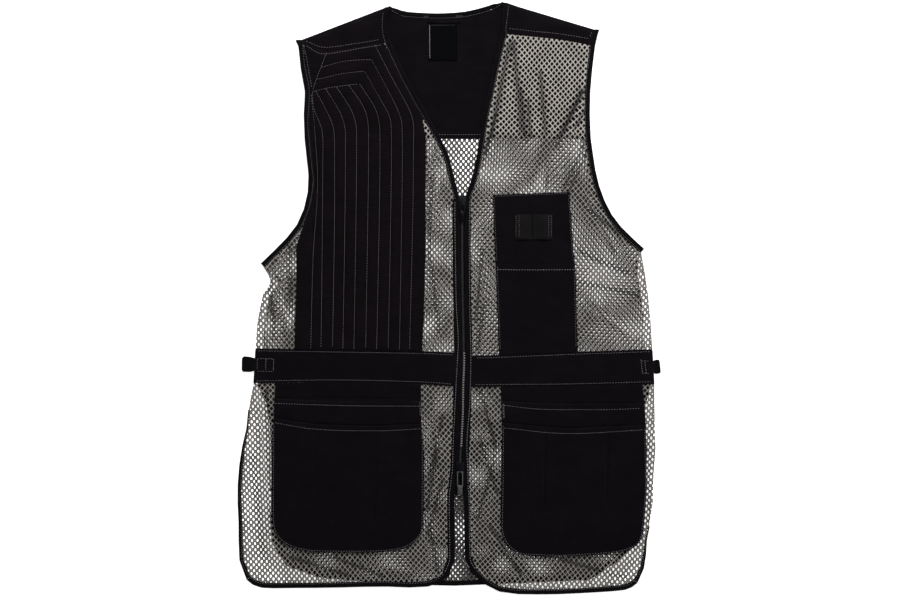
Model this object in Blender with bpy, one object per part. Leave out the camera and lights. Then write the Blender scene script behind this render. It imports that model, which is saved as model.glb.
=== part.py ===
"""A mesh-bodied shooting vest, zipped up and laid flat on its back.

Tables and sizes are in millimetres, and the finished meshes in metres. +X is to the viewer's
right, +Y towards the neck and +Z up from the surface that the vest lies on. The origin is at
the middle of the vest's outline, on that surface. Left and right are the viewer's.
"""
import math

import bmesh
import bpy
from mathutils import Matrix, Vector

MM = 0.001

# Cloth
SEAM = 0.3
NET = 1.2
BACK_NET = 1.0
POUCH_NET = 1.0
TWILL = 1.2
POCKET_TWILL = 1.0
BINDING = 6.7
NARROW_BINDING = 4.6
BACK_BINDING = 6.0
NECK_BINDING = 5.2

# Heights of the laid layers
FRONT_LIFT = 4.3
POUCH_LIFT = POUCH_NET + SEAM
BACK_EDGE_TOP = 2.4
BACK_HEM_TOP = 2.55
BINDING_BELOW = 0.4
BINDING_ABOVE = 1.6
LAYER_GAP = 0.4
ON_NET = NET + LAYER_GAP

# Zip
TEETH_HALF_WIDTH = 2.7
ZIP_BAND = 10.2
TAPE_BELOW = 1.7
TAPE = 1.0
TAPE_OUTER = 9.4
TAPE_INNER = 0.4
ZIP_TOP = 125.0
ZIP_FOOT = -250.0

# Outlines, as points (x, y) along the cut edge of the cloth, inside its binding.
# ARM_UPPER runs from the shoulder seam to the level of the back yoke's seam, ARM_LOWER on to
# the underarm, SIDE to the top of the vent, VENT to the rounded corner and HEM to the slit.
YOKE_SEAM_Y = 202.4
ZIP_LINE = ((16.8, ZIP_TOP), (16.8, 60), (17.5, -3), (18.8, -75), (17.6, -112), (17.2, -145), (14.8, -195),
            (14, -215))

LEFT = {
    "hand": -1,
    "seam": ((-184.5, 322), (-163.4, 312.2), (-142.2, 313.6), (-112, 319), (-82, 323.5)),
    "arm_upper": ((-184.5, 322), (-181.7, 295), (-175.8, 262), (-177.6, 226), (-176.3, YOKE_SEAM_Y)),
    "arm_lower": ((-176.3, YOKE_SEAM_Y), (-172.1, 163), (-170.9, 148), (-173.1, 129), (-178.2, 109),
                  (-187.8, 88), (-203.6, 68.6), (-234.4, 38.5)),
    "side": ((-234.4, 38.5), (-225.7, 21), (-236.3, 3.6), (-239.3, -11), (-244.1, -40.2), (-245.2, -66),
             (-247, -108), (-251, -125.4), (-253.8, -142.4)),
    "vent": ((-253.8, -142.4), (-255.3, -166), (-259.6, -193), (-264.1, -245), (-262.7, -284), (-262.1, -328),
             (-259.4, -342), (-252.5, -354.5)),
    "hem": ((-252.5, -354.5), (-243, -360.3), (-232, -362.3), (-213.4, -362.2), (-161.5, -361.6),
            (-86.6, -359.6), (-54.2, -360.8), (-32, -360.2), (-17.9, -357), (-6, -348)),
    "slit": ((3.8, -215), (1, -240), (-0.4, -258), (0.2, -325), (-0.8, -336), (-6, -348)),
    "neck": ((-82, 323.5), (-79.5, 317), (-56, 268), (-34.3, 230), (-25, 214), (-13.6, 193.7), (-3.9, 169.5),
             (0.9, 145), (6.6, ZIP_TOP)),
    "yoke_neck": ((-84.5, 367.4), (-86.2, 350), (-85.3, 334.6), (-82, 323.5)),
    "yoke_arm": ((-186.7, 328), (-184.5, 322)),
    "fold": ((-193.7, 325.7), (-76, 371)),
    "belt_top": ((-244.9, -64.6), (-138.4, -66.2), (-36.8, -68), (8.2, -70)),
    "belt_foot": ((-247.1, -107.9), (-138.4, -106.6), (-41.9, -108.9), (7, -112)),
    "side_marks": (0, 0.052, 0.103, 0.155, 0.21, 0.3, 0.42, 0.55, 0.68, 0.82, 0.91, 1),
    "vent_rows": 9,
}
RIGHT = {
    "hand": 1,
    "seam": ((178.5, 320.8), (141, 327.7), (107, 331.5), (74, 334.6)),
    "arm_upper": ((178.5, 320.8), (176, 300), (172.8, 272), (171.8, 226), (173, YOKE_SEAM_Y)),
    "arm_lower": ((173, YOKE_SEAM_Y), (176.5, 177.6), (180.8, 152.2), (187.7, 129.3), (197.9, 106.5),
                  (212, 87), (226.1, 72.8), (243.2, 57)),
    "side": ((243.2, 57), (245, 48), (250.5, 18), (254.9, -19), (257.8, -66), (260, -109), (260.5, -154),
             (262, -190), (259.5, -219), (258.8, -245), (257.5, -271), (253.5, -290)),
    "vent": ((253.5, -290), (249.8, -304), (245.5, -333), (240.5, -350), (235, -358.5)),
    "hem": ((235, -358.5), (228, -362.5), (219, -365.2), (167.4, -368.6), (141, -369.9), (92.2, -369.9),
            (75, -368.2), (60, -364.5), (50.3, -358.6), (42, -351), (34, -343.5)),
    "slit": ((24.2, -215), (25, -240), (26.2, -258), (27, -320), (28.5, -335), (34, -343.5)),
    "neck": ((74, 334.6), (64.9, 298), (57.5, 262), (51, 233), (44.7, 194), (39.9, 167.4), (34, 143),
             (27, ZIP_TOP)),
    "yoke_neck": ((77.5, 373), (75.2, 355), (73.6, 341), (74, 334.6)),
    "yoke_arm": ((183.3, 341.3), (178.5, 320.8)),
    "fold": ((69.5, 376.1), (190.2, 339.4)),
    "belt_top": ((257.7, -65.7), (163.8, -68.8), (64.8, -72.8), (31.2, -73.7)),
    "belt_foot": ((259.7, -108.9), (153.7, -111.7), (90, -112.2), (30.2, -112.6)),
    "side_marks": (0, 0.03, 0.08, 0.16, 0.25, 0.34, 0.41, 0.48, 0.55, 0.63, 0.72, 0.81, 0.91, 1),
    "vent_rows": 4,
}

# The back is cut a little smaller than the fronts, so that they cover its edges.
BACK_ARM_INSET = 1.5
BACK_SIDE_INSET = 9.0
BACK_NECK = ((-74, 368.8), (-70, 363.5), (-58.7, 359), (-31.8, 356.8), (-11.4, 356.3), (14, 357.7), (28, 359.8),
             (48.5, 365.2), (62, 370), (66, 374.2))
BACK_SHOULDER = {-1: ((-181.2, 327.5), (-74, 368.8)), 1: ((178, 340.2), (66, 374.2))}
BACK_LOW = {
    -1: ((-238, -108), (-225, -135), (-219.8, -200), (-219.8, -302), (-214, -322), (-203, -335.5)),
    1: ((251, -108), (243.5, -135), (241, -200), (240, -280), (235, -304), (219, -321.5), (211, -330)),
}
BACK_HEM = ((-203, -335.5), (-190, -343), (-176, -347.8), (-120, -353.5), (-60, -357.5), (-3.8, -359.8),
            (39.4, -358.4), (90, -356.5), (150, -353.5), (188, -350.5), (203, -338), (211, -330))
POUCH_TOP = -74.0
POUCH_RAMP = (-68.0, -30.0)

# Soft folds in the fronts: start x, start y, end x, end y, half width, height
FOLDS = (
    (60, 318, 160, 215, 26, 1.5),
    (165, 150, 235, 20, 24, 1.9),
    (176, 60, 250, -55, 22, 1.4),
    (36, 110, 52, -50, 14, 0.9),
    (-12, 150, -22, -40, 16, 1.0),
    (-214, 62, -205, -50, 18, 1.5),
    (-251, -150, -243, -330, 13, 1.2),
    (-12, -140, -16, -320, 11, 1.1),
    (44, -140, 50, -330, 13, 1.2),
    (-190, -340, -60, -346, 11, 0.9),
    (80, -345, 215, -346, 11, 1.0),
)


# Curves and grids in plan

def curve(points, marks):
    """Points at the marks (fractions of its length) of a smooth curve through the given ones."""
    knots = [Vector(p) for p in points]
    spans = [(b - a).length for a, b in zip(knots, knots[1:])]
    tangents = [(knots[1] - knots[0]) / spans[0]]
    for k in range(1, len(knots) - 1):
        tangents.append((knots[k + 1] - knots[k - 1]) / (spans[k - 1] + spans[k]))
    tangents.append((knots[-1] - knots[-2]) / spans[-1])
    fine = [knots[0]]
    for k, span in enumerate(spans):
        for step in range(1, 13):
            t = step / 12
            fine.append(knots[k] * (2 * t**3 - 3 * t**2 + 1) + tangents[k] * span * (t**3 - 2 * t**2 + t)
                        + knots[k + 1] * (3 * t**2 - 2 * t**3) + tangents[k + 1] * span * (t**3 - t**2))
    lengths = [0.0]
    for a, b in zip(fine, fine[1:]):
        lengths.append(lengths[-1] + (b - a).length)
    found = []
    k = 0
    for mark in marks:
        goal = mark * lengths[-1]
        while k < len(fine) - 2 and lengths[k + 1] < goal:
            k += 1
        found.append(fine[k].lerp(fine[k + 1], (goal - lengths[k]) / (lengths[k + 1] - lengths[k])))
    return found


def evenly(count):
    """Fractions from 0 to 1 in equal steps."""
    return [k / count for k in range(count + 1)]


def joined(*stretches):
    """One row of points along several curves that meet, each given with its number of steps."""
    row = []
    for points, steps in stretches:
        row += curve(points, evenly(steps))[1 if row else 0:]
    return row


def between(start, end, top, foot, marks, down=None):
    """Rows of points inside four edges. The marks are the fractions across, and down those down."""
    grid = []
    for a, b, t in zip(start, end, down or evenly(len(start) - 1)):
        row = []
        for j, s in enumerate(marks):
            corners = top[0].lerp(top[-1], s).lerp(foot[0].lerp(foot[-1], s), t)
            row.append(a.lerp(b, s) + top[j].lerp(foot[j], t) - corners)
        grid.append(row)
    return grid


def beside(row, distances, hand):
    """The row's points moved sideways, to the left of its run for hand 1 and right for -1."""
    moved = []
    for k, point in enumerate(row):
        into = (point - row[k - 1]).normalized() if k else None
        out = (row[k + 1] - point).normalized() if k < len(row) - 1 else None
        along = ((into or out) + (out or into)).normalized()
        stretch = 1.0 / max(0.6, along.dot(out or into))
        moved.append(point + Vector((-along.y, along.x)) * hand * distances[k] * stretch)
    return moved


def bow(share):
    """An arch from 0 up to 1 at the middle and back to 0."""
    return 4 * share * (1 - share)


def ease(value):
    """A smooth step from 0 to 1."""
    value = min(1.0, max(0.0, value))
    return value * value * (3 - 2 * value)


# Heights. Points closer than LEAST_STEP to the start of a cut edge are left out of it.

LEAST_STEP = 4.0


def level_x(row, y):
    """Where a row of points that runs down the vest crosses the level y."""
    for a, b in zip(row, row[1:]):
        if b.y <= y <= a.y:
            return a.x + (b.x - a.x) * (a.y - y) / max(a.y - b.y, 1e-6)
    return row[0].x if y > row[0].y else row[-1].x


def level_y(row, x):
    """The height on the page of a row of points that runs across the vest, at x."""
    for a, b in zip(row, row[1:]):
        if a.x <= x <= b.x:
            return a.y + (b.y - a.y) * (x - a.x) / max(b.x - a.x, 1e-6)
    return row[0].y if x < row[0].x else row[-1].y


def moved_in(points, hand, distance):
    """Points moved towards the middle of the vest."""
    return [(x - hand * distance, y) for x, y in points]


BELT_FOOT_Y = -108.0
BACK_SIDE = {}
for front in (LEFT, RIGHT):
    upper_side = [p for p in front["side"] if p[1] >= BELT_FOOT_Y - 1]
    hand = front["hand"]
    BACK_SIDE[hand] = moved_in(upper_side[:-1], hand, BACK_SIDE_INSET) + [BACK_LOW[hand][0]]
    BACK_SIDE[hand][0] = moved_in(front["arm_lower"], hand, BACK_ARM_INSET)[-1]

BACK_RIM = joined((BACK_SIDE[-1], 8), (BACK_LOW[-1], 10), (BACK_HEM, 14), (BACK_LOW[1][::-1], 10),
                  (BACK_SIDE[1][::-1], 8))
BACK_RIM = beside(BACK_RIM, [BACK_BINDING] * len(BACK_RIM), -1)


def past_back(x, y):
    """How far a point lies outside the bound edge of the back, below the armholes."""
    point = Vector((x, y))
    nearest = None
    for a, b in zip(BACK_RIM, BACK_RIM[1:]):
        run = b - a
        share = min(1.0, max(0.0, (point - a).dot(run) / run.length_squared))
        gap = point - (a + run * share)
        if nearest is None or gap.length < nearest:
            nearest = gap.length
            outside = run.cross(gap) < 0
    return nearest if outside else -nearest


def back_height(x, y):
    """The underside of the back: on the surface, and over the game pouch below the belt."""
    low, high = POUCH_RAMP
    return POUCH_LIFT * min(1.0, max(0.0, (high - y) / (high - low)))


def fold_height(x, y):
    """The height that the soft folds add to the fronts."""
    total = 0.0
    for x0, y0, x1, y1, half_width, height in FOLDS:
        run = Vector((x1 - x0, y1 - y0))
        offset = Vector((x - x0, y - y0))
        along = offset.dot(run) / run.length_squared
        aside = abs(offset.x * run.y - offset.y * run.x) / run.length
        if 0 < along < 1 and aside < half_width:
            total += height * math.sin(math.pi * along) * (0.5 + 0.5 * math.cos(math.pi * aside / half_width))
    return total


# How far past the back's edge the fronts reach the surface, and over what width they slope
# down, above and below the belt. At the shoulder folds they slope down too.
SIDE_REACH = (3.0, 17.0)
SIDE_SPAN = (16.0, 9.0)
SIDE_EASE_Y = -62.0
SIDE_EASE = 70.0
FOLD_SPAN = 8.0
FOLD_REACH = 1.0


def front_height(x, y):
    """The underside of the fronts: over the back, and down to the surface past its edges."""
    below_belt = ease((SIDE_EASE_Y - y) / SIDE_EASE)
    reach = SIDE_REACH[0] + (SIDE_REACH[1] - SIDE_REACH[0]) * below_belt
    span = SIDE_SPAN[0] + (SIDE_SPAN[1] - SIDE_SPAN[0]) * below_belt
    drop = 1 - min(1.0, max(0.0, (reach - past_back(x, y)) / span))
    height = 1 - drop * ease((48 - y) / 30)
    for front in (LEFT, RIGHT):
        start, end = (Vector(p) for p in front["fold"])
        run = (end - start).normalized()
        inside = (Vector((x, y)) - start).cross(run)
        if start.x - FOLD_REACH < x < end.x + FOLD_REACH:
            height *= min(1.0, max(0.0, inside / FOLD_SPAN))
    return FRONT_LIFT * height + fold_height(x, y) * height


def above_front(lift):
    """A height function for what lies on the fronts, the given distance over their underside."""
    return lambda x, y: max(0.0, front_height(x, y) + lift)


def flat(height):
    """A height function for what lies level."""
    return lambda x, y: height


# Solids

def finish(mesh, name, colour, roughness, metallic=0.0):
    """Turn a bmesh in millimetres into a named object in metres with its own material."""
    bmesh.ops.recalc_face_normals(mesh, faces=mesh.faces)
    mesh.transform(Matrix.Scale(MM, 4))
    data = bpy.data.meshes.new(name)
    mesh.to_mesh(data)
    mesh.free()
    thing = bpy.data.objects.new(name, data)
    bpy.context.scene.collection.objects.link(thing)
    material = bpy.data.materials.new(name)
    material.use_nodes = True
    shader = material.node_tree.nodes["Principled BSDF"]
    shader.inputs["Base Color"].default_value = (*colour, 1)
    shader.inputs["Roughness"].default_value = roughness
    shader.inputs["Metallic"].default_value = metallic
    data.materials.append(material)
    return thing


def wall(name, grids, lower, upper, colour, lift=None):
    """A closed cloth wall over plan grids that share their edges.

    lower and upper give its two heights at (x, y). lift, a grid of heights for each plan grid,
    raises the outer points over a plain inside.
    """
    mesh = bmesh.new()
    for g, grid in enumerate(grids):
        verts = [[mesh.verts.new((p.x, p.y, lift[g][i][j] if lift else 0.0)) for j, p in enumerate(row)]
                 for i, row in enumerate(grid)]
        for above, below in zip(verts, verts[1:]):
            for k in range(len(above) - 1):
                mesh.faces.new((above[k], below[k], below[k + 1], above[k + 1]))
    bmesh.ops.remove_doubles(mesh, verts=mesh.verts, dist=0.01)
    bmesh.ops.recalc_face_normals(mesh, faces=mesh.faces)
    outer = list(mesh.verts)
    faces = list(mesh.faces)
    rim = [edge for edge in mesh.edges if edge.is_boundary]
    inner = {v: mesh.verts.new((v.co.x, v.co.y, lower(v.co.x, v.co.y))) for v in outer}
    for face in faces:
        mesh.faces.new([inner[v] for v in reversed(face.verts)])
    for edge in rim:
        a, b = edge.verts
        mesh.faces.new((a, b, inner[b], inner[a]))
    for v in outer:
        v.co.z += upper(v.co.x, v.co.y)
    return finish(mesh, name, colour, 0.85)


def bind(names, row, cuts, widths, hand, lower, upper, colour):
    """Binding along a row of edge points, cut into one solid for each name at the given steps."""
    inner = beside(row, [SEAM] * len(row), hand)
    outer = beside(row, [SEAM + width for width in widths], hand)
    for name, start, end in zip(names, cuts, cuts[1:]):
        grid = [[inner[k], outer[k]] for k in range(start, end + 1)]
        for k, neighbour in ((0, 1), (-1, -2)):
            trim = 0.5 * SEAM / (grid[neighbour][0] - grid[k][0]).length
            grid[k] = [a.lerp(b, trim) for a, b in zip(grid[k], grid[neighbour])]
        wall(name, [grid], lower, upper, colour)


BLACK_TWILL = (0.012, 0.010, 0.012)
BLACK_TAPE = (0.010, 0.009, 0.011)
GREY_NET = (0.20, 0.19, 0.18)
DARK_METAL = (0.05, 0.05, 0.05)


# The back, yoke and pouch

ARM_UPPER_ROWS = 4
ARM_LOWER_ROWS = 8
BACK_SIDE_ROWS = 6
BACK_LOW_ROWS = 8
BACK_COLUMNS = 10
NECK_STEPS = 12
SHOULDER_STEPS = 4
SHOULDER_MARKS = (0, 0.12, 0.3, 0.65, 1)
BACK_ARM_START = 0.15


def back_edge_top(x, y):
    """The top of the binding along the back's armholes and neck, under the fronts."""
    return min(BACK_EDGE_TOP, front_height(x, y) - BINDING_BELOW - SEAM)


def make_back():
    """Yoke, net back, game pouch under its lower half, and their bindings."""
    sides = {}
    yoke_sides = {}
    for front in (LEFT, RIGHT):
        hand = front["hand"]
        arm = moved_in(front["arm_lower"], hand, BACK_ARM_INSET)
        sides[hand] = joined((arm, ARM_LOWER_ROWS), (BACK_SIDE[hand], BACK_SIDE_ROWS),
                             (BACK_LOW[hand], BACK_LOW_ROWS))
        upper = moved_in(front["arm_upper"], hand, BACK_ARM_INSET)
        yoke_sides[hand] = curve([BACK_SHOULDER[hand][0]] + upper[1:], evenly(ARM_UPPER_ROWS))
        yoke_sides[hand][-1].y += SEAM

    top = joined((BACK_SHOULDER[-1], SHOULDER_STEPS), (BACK_NECK, NECK_STEPS),
                 (BACK_SHOULDER[1][::-1], SHOULDER_STEPS))
    neck = top[SHOULDER_STEPS:-SHOULDER_STEPS]
    foot = [yoke_sides[-1][-1].lerp(yoke_sides[1][-1], s) for s in evenly(len(top) - 1)]
    yoke = between(yoke_sides[-1], yoke_sides[1], top, foot, evenly(len(top) - 1))
    wall("back_yoke", [yoke], flat(0), flat(BACK_NET), BLACK_TWILL)

    marks = evenly(BACK_COLUMNS)
    top = [sides[-1][0].lerp(sides[1][0], s) for s in marks]
    hem = curve(BACK_HEM, marks)
    back = between(sides[-1], sides[1], top, hem, marks)
    wall("back_net", [back], back_height, lambda x, y: back_height(x, y) + BACK_NET, GREY_NET)

    low = {hand: [p for p in sides[hand] if p.y < POUCH_TOP - LEAST_STEP] for hand in (-1, 1)}
    for hand in (-1, 1):
        low[hand].insert(0, Vector((level_x(sides[hand], POUCH_TOP), POUCH_TOP)))
    top = [low[-1][0].lerp(low[1][0], s) for s in marks]
    pouch = between(low[-1], low[1], top, hem, marks)
    wall("game_pouch", [pouch], flat(0), flat(POUCH_NET), GREY_NET)

    below_belt = ARM_LOWER_ROWS + BACK_SIDE_ROWS
    edge = sides[-1][below_belt:] + hem[1:-1] + sides[1][:below_belt - 1:-1]
    corners = (0, BACK_LOW_ROWS, BACK_LOW_ROWS + BACK_COLUMNS, len(edge) - 1)
    bind(("back_vent_binding_left", "back_hem_binding", "back_vent_binding_right"), edge, corners,
         [BACK_BINDING] * len(edge), -1, flat(0), flat(BACK_HEM_TOP), BLACK_TAPE)
    for hand, name in ((-1, "left"), (1, "right")):
        edge = yoke_sides[hand][:-1] + sides[hand][:ARM_LOWER_ROWS + 1]
        edge[0] = edge[0].lerp(edge[1], BACK_ARM_START)
        bind((f"back_arm_binding_{name}",), edge, (0, len(edge) - 1), [BINDING - BACK_ARM_INSET] * len(edge),
             hand, flat(0), back_edge_top, BLACK_TAPE)
    bind(("back_neck_binding",), neck, (0, NECK_STEPS), [NECK_BINDING] * len(neck), 1, flat(0), back_edge_top,
         BLACK_TAPE)


# The fronts

FRONT_MARKS = (0, 0.03, 0.07, 0.13, 0.22, 0.34, 0.46, 0.58, 0.70, 0.81, 0.90, 0.96, 1)
NECK_ROWS = 8
SLIT_ROWS = 7
VENT_START = 0.25
VENT_WIDENS = 3
PATCH_LIFT = ON_NET + 0.2
BELT_LIFT = ON_NET + 0.2
PATCH_BASE = 1.6
PATCH_ARM_FOOT = 60.0
PATCH_NECK_FOOT = 190.0
PATCH_END = 30.0


def binding_top(hand, patch_foot):
    """A height function for a front's binding, thicker where it also wraps the shooting patch."""
    extra = PATCH_BASE if hand == LEFT["hand"] else 0.0
    patch_top = LEFT["seam"][-1][1]

    def height(x, y):
        share = ease((y - patch_foot) / PATCH_END) * ease((patch_top - y) / PATCH_END)
        return max(0.0, front_height(x, y) + BINDING_ABOVE + extra * share)

    return height


def zip_side(hand):
    """The edge of a front beside the zip."""
    return [(x + hand * ZIP_BAND, y) for x, y in ZIP_LINE]


def make_front(front, name):
    """A net front, its shoulder piece, its bindings and its half of the belt."""
    hand = front["hand"]
    side = joined((front["arm_upper"], ARM_UPPER_ROWS), (front["arm_lower"], ARM_LOWER_ROWS))
    side += curve(front["side"], front["side_marks"])[1:]
    side += curve(front["vent"], evenly(front["vent_rows"]))[1:]
    zip_rows = len(side) - 1 - NECK_ROWS - SLIT_ROWS
    centre = joined((front["neck"], NECK_ROWS), (zip_side(hand), zip_rows), (front["slit"], SLIT_ROWS))
    seam = curve(front["seam"], FRONT_MARKS)
    hem = curve(front["hem"], FRONT_MARKS)
    panel = between(side, centre, seam, hem, FRONT_MARKS)
    wall(f"front_net_{name}", [panel], front_height, above_front(NET), GREY_NET)

    gap = Vector((0, SEAM))
    arm_top, arm_foot = Vector(front["yoke_arm"][0]), Vector(front["yoke_arm"][1]) + gap
    arm = [arm_top.lerp(arm_foot, t) for t in SHOULDER_MARKS]
    neck = curve(front["yoke_neck"], SHOULDER_MARKS)
    neck[-1] = neck[-1] + gap
    fold = [arm[0].lerp(neck[0], s) for s in FRONT_MARKS]
    yoke = between(arm, neck, fold, [p + gap for p in seam], FRONT_MARKS, SHOULDER_MARKS)
    wall(f"shoulder_{name}", [yoke], front_height, above_front(TWILL), BLACK_TWILL)

    arm_edge = [arm[0], arm[2]] + side[:ARM_UPPER_ROWS + ARM_LOWER_ROWS + 1]
    bind((f"arm_binding_{name}",), arm_edge, (0, len(arm_edge) - 1), [BINDING] * len(arm_edge), hand,
         above_front(-BINDING_BELOW), binding_top(hand, PATCH_ARM_FOOT), BLACK_TAPE)

    vent = side[-front["vent_rows"] - 1:]
    edge = vent + hem[1:-1] + centre[::-1] + neck[-2::-1]
    widths = [NARROW_BINDING * (VENT_START + (1 - VENT_START) * ease(k / VENT_WIDENS)) for k in range(len(vent))]
    widths += [BINDING] * (len(edge) - len(vent))
    widths[len(vent) - 1] = 0.5 * (NARROW_BINDING + BINDING)
    corner = len(vent) - 1
    low = corner + len(FRONT_MARKS) - 1
    top = low + SLIT_ROWS + zip_rows
    names = [f"{place}_binding_{name}" for place in ("vent", "hem", "front", "neck")]
    bind(names, edge, (0, corner, low, top, len(edge) - 1), widths, hand, above_front(-BINDING_BELOW),
         binding_top(hand, PATCH_NECK_FOOT), BLACK_TAPE)

    top_edge = curve(front["belt_top"], FRONT_MARKS)
    foot_edge = curve(front["belt_foot"], FRONT_MARKS)
    belt = [[a.lerp(b, t) for a, b in zip(top_edge, foot_edge)] for t in (0, 0.5, 1)]
    wall(f"belt_{name}", [belt], above_front(BELT_LIFT), above_front(BELT_LIFT + TWILL), BLACK_TWILL)


# The quilted shooting patch

QUILT = 2.2
QUILT_AT_FOOT = 0.35
# Stitch lines. A, B and C run below the shoulder seam as legs, from a diagonal line at the
# armhole to a knee, and turn down there. C0 to C4 start on C's leg. Each line down has its
# x at the belt, then its points (x, y) from the top.
QUILT_DIAGONAL = ((-155.2, 311.6), (-162.6, 292.3), (-168.4, 276.9), (-173.3, 261.6))
LEG_C = (QUILT_DIAGONAL[3], (-155.3, 266), (-140.7, 268.2), (-127, 270), (-113.7, 271.8))
LEG_B = (QUILT_DIAGONAL[2], (-136.3, 284.3), (-107.2, 287.8))
LEG_A = (QUILT_DIAGONAL[1], (-132.1, 300.3), (-98.4, 302.5))
LEG_SEAM = (QUILT_DIAGONAL[0], (-142.2, 312.9), (-112, 318.3), (-94, 321))
QUILT_LINES = {
    "edge": (-195.6, ((-175.2, 256), (-176.9, 226), (-175.6, 202), (-171.5, 163), (-170.4, 148),
                      (-172.6, 129), (-176.8, 109), (-186.4, 88.4), (-192.4, 77), (-193, 17))),
    "O": (-175.4, ((-174.6, 258), (-171.5, 226), (-169.5, 200), (-166.8, 160), (-167.5, 120), (-172, 60),
                   (-174, 0))),
    "C0": (-162.4, (LEG_C[0], (-171.6, 240), (-164.1, 222.3), (-160.2, 205), (-160.2, 160), (-161, 50))),
    "C1": (-147.8, ((-169.2, 262.7), (-153.7, 234), (-146.5, 215), (-145.3, 195), (-145.3, 100))),
    "C2": (-134.7, ((-156.7, 265.7), (-139.2, 237.3), (-132, 216), (-131.4, 195), (-132, 100))),
    "C3": (-120.7, ((-142.9, 267.9), (-124.7, 239.8), (-118, 219), (-117.2, 195), (-118, 100))),
    "C4": (-105.7, ((-127, 270), (-108.6, 242.4), (-102.8, 222), (-102, 195), (-103, 100))),
    "C": (-91.8, (LEG_C[-1], (-95.5, 244.2), (-89.2, 226), (-87.5, 200), (-88.5, 100))),
    "B": (-77.2, (LEG_B[-1], (-88.3, 254.3), (-75.8, 230.5), (-73, 205), (-74, 100))),
    "A": (-62.9, (LEG_A[-1], (-74.9, 258.9), (-62.2, 230.9), (-59.3, 205), (-60, 100))),
    "N": (-50, (LEG_SEAM[-1], (-73.7, 281.7), (-52.1, 242.4), (-45.4, 222), (-45, 195), (-46, 100))),
    "rim": (-34.4, ((-82.8, 322.7), (-79.9, 316.8), (-56.6, 268), (-34.9, 230), (-30, 214), (-30.3, 195),
                    (-30.5, 73), (-31.8, 8))),
}
DOWN_MARKS = (0, 0.05, 0.1, 0.15, 0.2, 0.26, 0.33, 0.41, 0.5, 0.6, 0.7, 0.8, 0.9, 1)
CORNER_COLUMNS = 4
PATCH_ARM = ((-183.2, 320.6), (-181, 295), (-175.2, 262), QUILT_LINES["edge"][1][0])


def with_middles(lines):
    """Rows of points across neighbouring lines, with a middle point between each two."""
    rows = []
    for points in zip(*lines):
        row = [points[0]]
        for a, b in zip(points, points[1:]):
            row += [(a + b) / 2, b]
        rows.append(row)
    return rows


def raised(rows, first=1.0, last=1.0):
    """Lifts for rows whose every second point lies between stitch lines."""
    shares = [first] + [1.0] * (len(rows) - 2) + [last]
    return [[QUILT * share * (j % 2) for j in range(len(row))] for share, row in zip(shares, rows)]


def make_patch():
    """The quilted patch: four grids that meet along the stitch line C and the diagonal."""
    belt_top = curve(LEFT["belt_top"], evenly(20))
    lines = {}
    for key, (foot_x, points) in QUILT_LINES.items():
        lines[key] = curve(points + ((foot_x, level_y(belt_top, foot_x) + SEAM),), DOWN_MARKS)
    body = with_middles([lines[key] for key in ("edge", "O", "C0", "C1", "C2", "C3", "C4", "C")])
    neck_side = with_middles([lines[key] for key in ("C", "B", "A", "N", "rim")])

    leg_row = body[0][CORNER_COLUMNS:]
    leg = with_middles([leg_row] + [curve(line, evenly(len(leg_row) - 1)) for line in (LEG_B, LEG_A, LEG_SEAM)])

    diagonal = leg[0][::-1]
    arm = curve(PATCH_ARM, evenly(len(diagonal) - 1))
    marks = evenly(CORNER_COLUMNS)
    top = [arm[0].lerp(diagonal[0], s) for s in marks]
    corner = between(arm, diagonal, top, body[0][:CORNER_COLUMNS + 1], marks)

    neck_lift = raised(neck_side, last=QUILT_AT_FOOT)
    neck_lift[0][-2] = 0.0
    lifts = [raised(body, 0.0, QUILT_AT_FOOT), neck_lift, raised(leg, 0.0),
             [[0.0] * len(row) for row in corner]]
    wall("shooting_patch", [body, neck_side, leg, corner], above_front(PATCH_LIFT),
         above_front(PATCH_LIFT + PATCH_BASE), BLACK_TWILL, lifts)


# The pockets

LOWER_POCKETS = {
    "left": {
        "side": ((-220.5, -108.6), (-222.8, -157.7), (-224.4, -180.5), (-224.4, -258), (-223.6, -288.5),
                 (-219.2, -301), (-212.5, -309)),
        "foot": ((-212.5, -309), (-203, -315.2), (-188, -319.8), (-163.8, -322.6), (-99.6, -322.8),
                 (-67.3, -320.2), (-50.3, -315.2), (-43.5, -310)),
        "inner": ((-35.8, -109.6), (-35.2, -165.3), (-32.1, -180.5), (-32.1, -258), (-32.8, -291),
                  (-37, -303), (-43.5, -310)),
        "first_mouth": (-127.5, -131),
        "second_mouth": ((-222.6, -153), (-167.6, -160), (-89.3, -162), (-35.3, -159.5)),
        "pleats": (0.288, 0.688),
        "belt": LEFT["belt_foot"],
    },
    "right": {
        "side": ((246, -109.6), (248, -131), (250.2, -169.1), (250.8, -218.6), (251, -240), (249, -270),
                 (246.4, -297), (243.6, -308), (238.5, -314.5)),
        "foot": ((238.5, -314.5), (226, -320.2), (206.2, -324.4), (167.6, -327), (141, -328.2),
                 (94.9, -326.3), (82.5, -321.5), (76, -316)),
        "inner": ((65.8, -112.8), (67.3, -137.4), (66.9, -180.5), (66.9, -218.6), (65.7, -284.7),
                  (67, -300), (71, -310), (76, -316)),
        "first_mouth": (-133.4, -130.5),
        "second_mouth": ((249.8, -160.8), (205, -163.5), (149.5, -165.5), (66.9, -158.4)),
        "pleats": (0.271, 0.703),
        "belt": RIGHT["belt_foot"],
    },
}
POCKET_DOWN_MARKS = (0, 0.2, 0.45, 0.7, 0.84, 0.93, 1)
SWELL_MARKS = (0, 0.04, 0.1, 0.2, 0.32, 0.45, 0.58, 0.7, 0.8, 0.88, 0.94, 1)
POCKET_LAYER = POCKET_TWILL + SEAM
PILLOW = 2.0
PLEAT_DEPTH = 1.5
PLEAT_END = 0.62
PLEAT_HALF = 0.035
FIRST_MOUTH_SAG = 2.5


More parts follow.
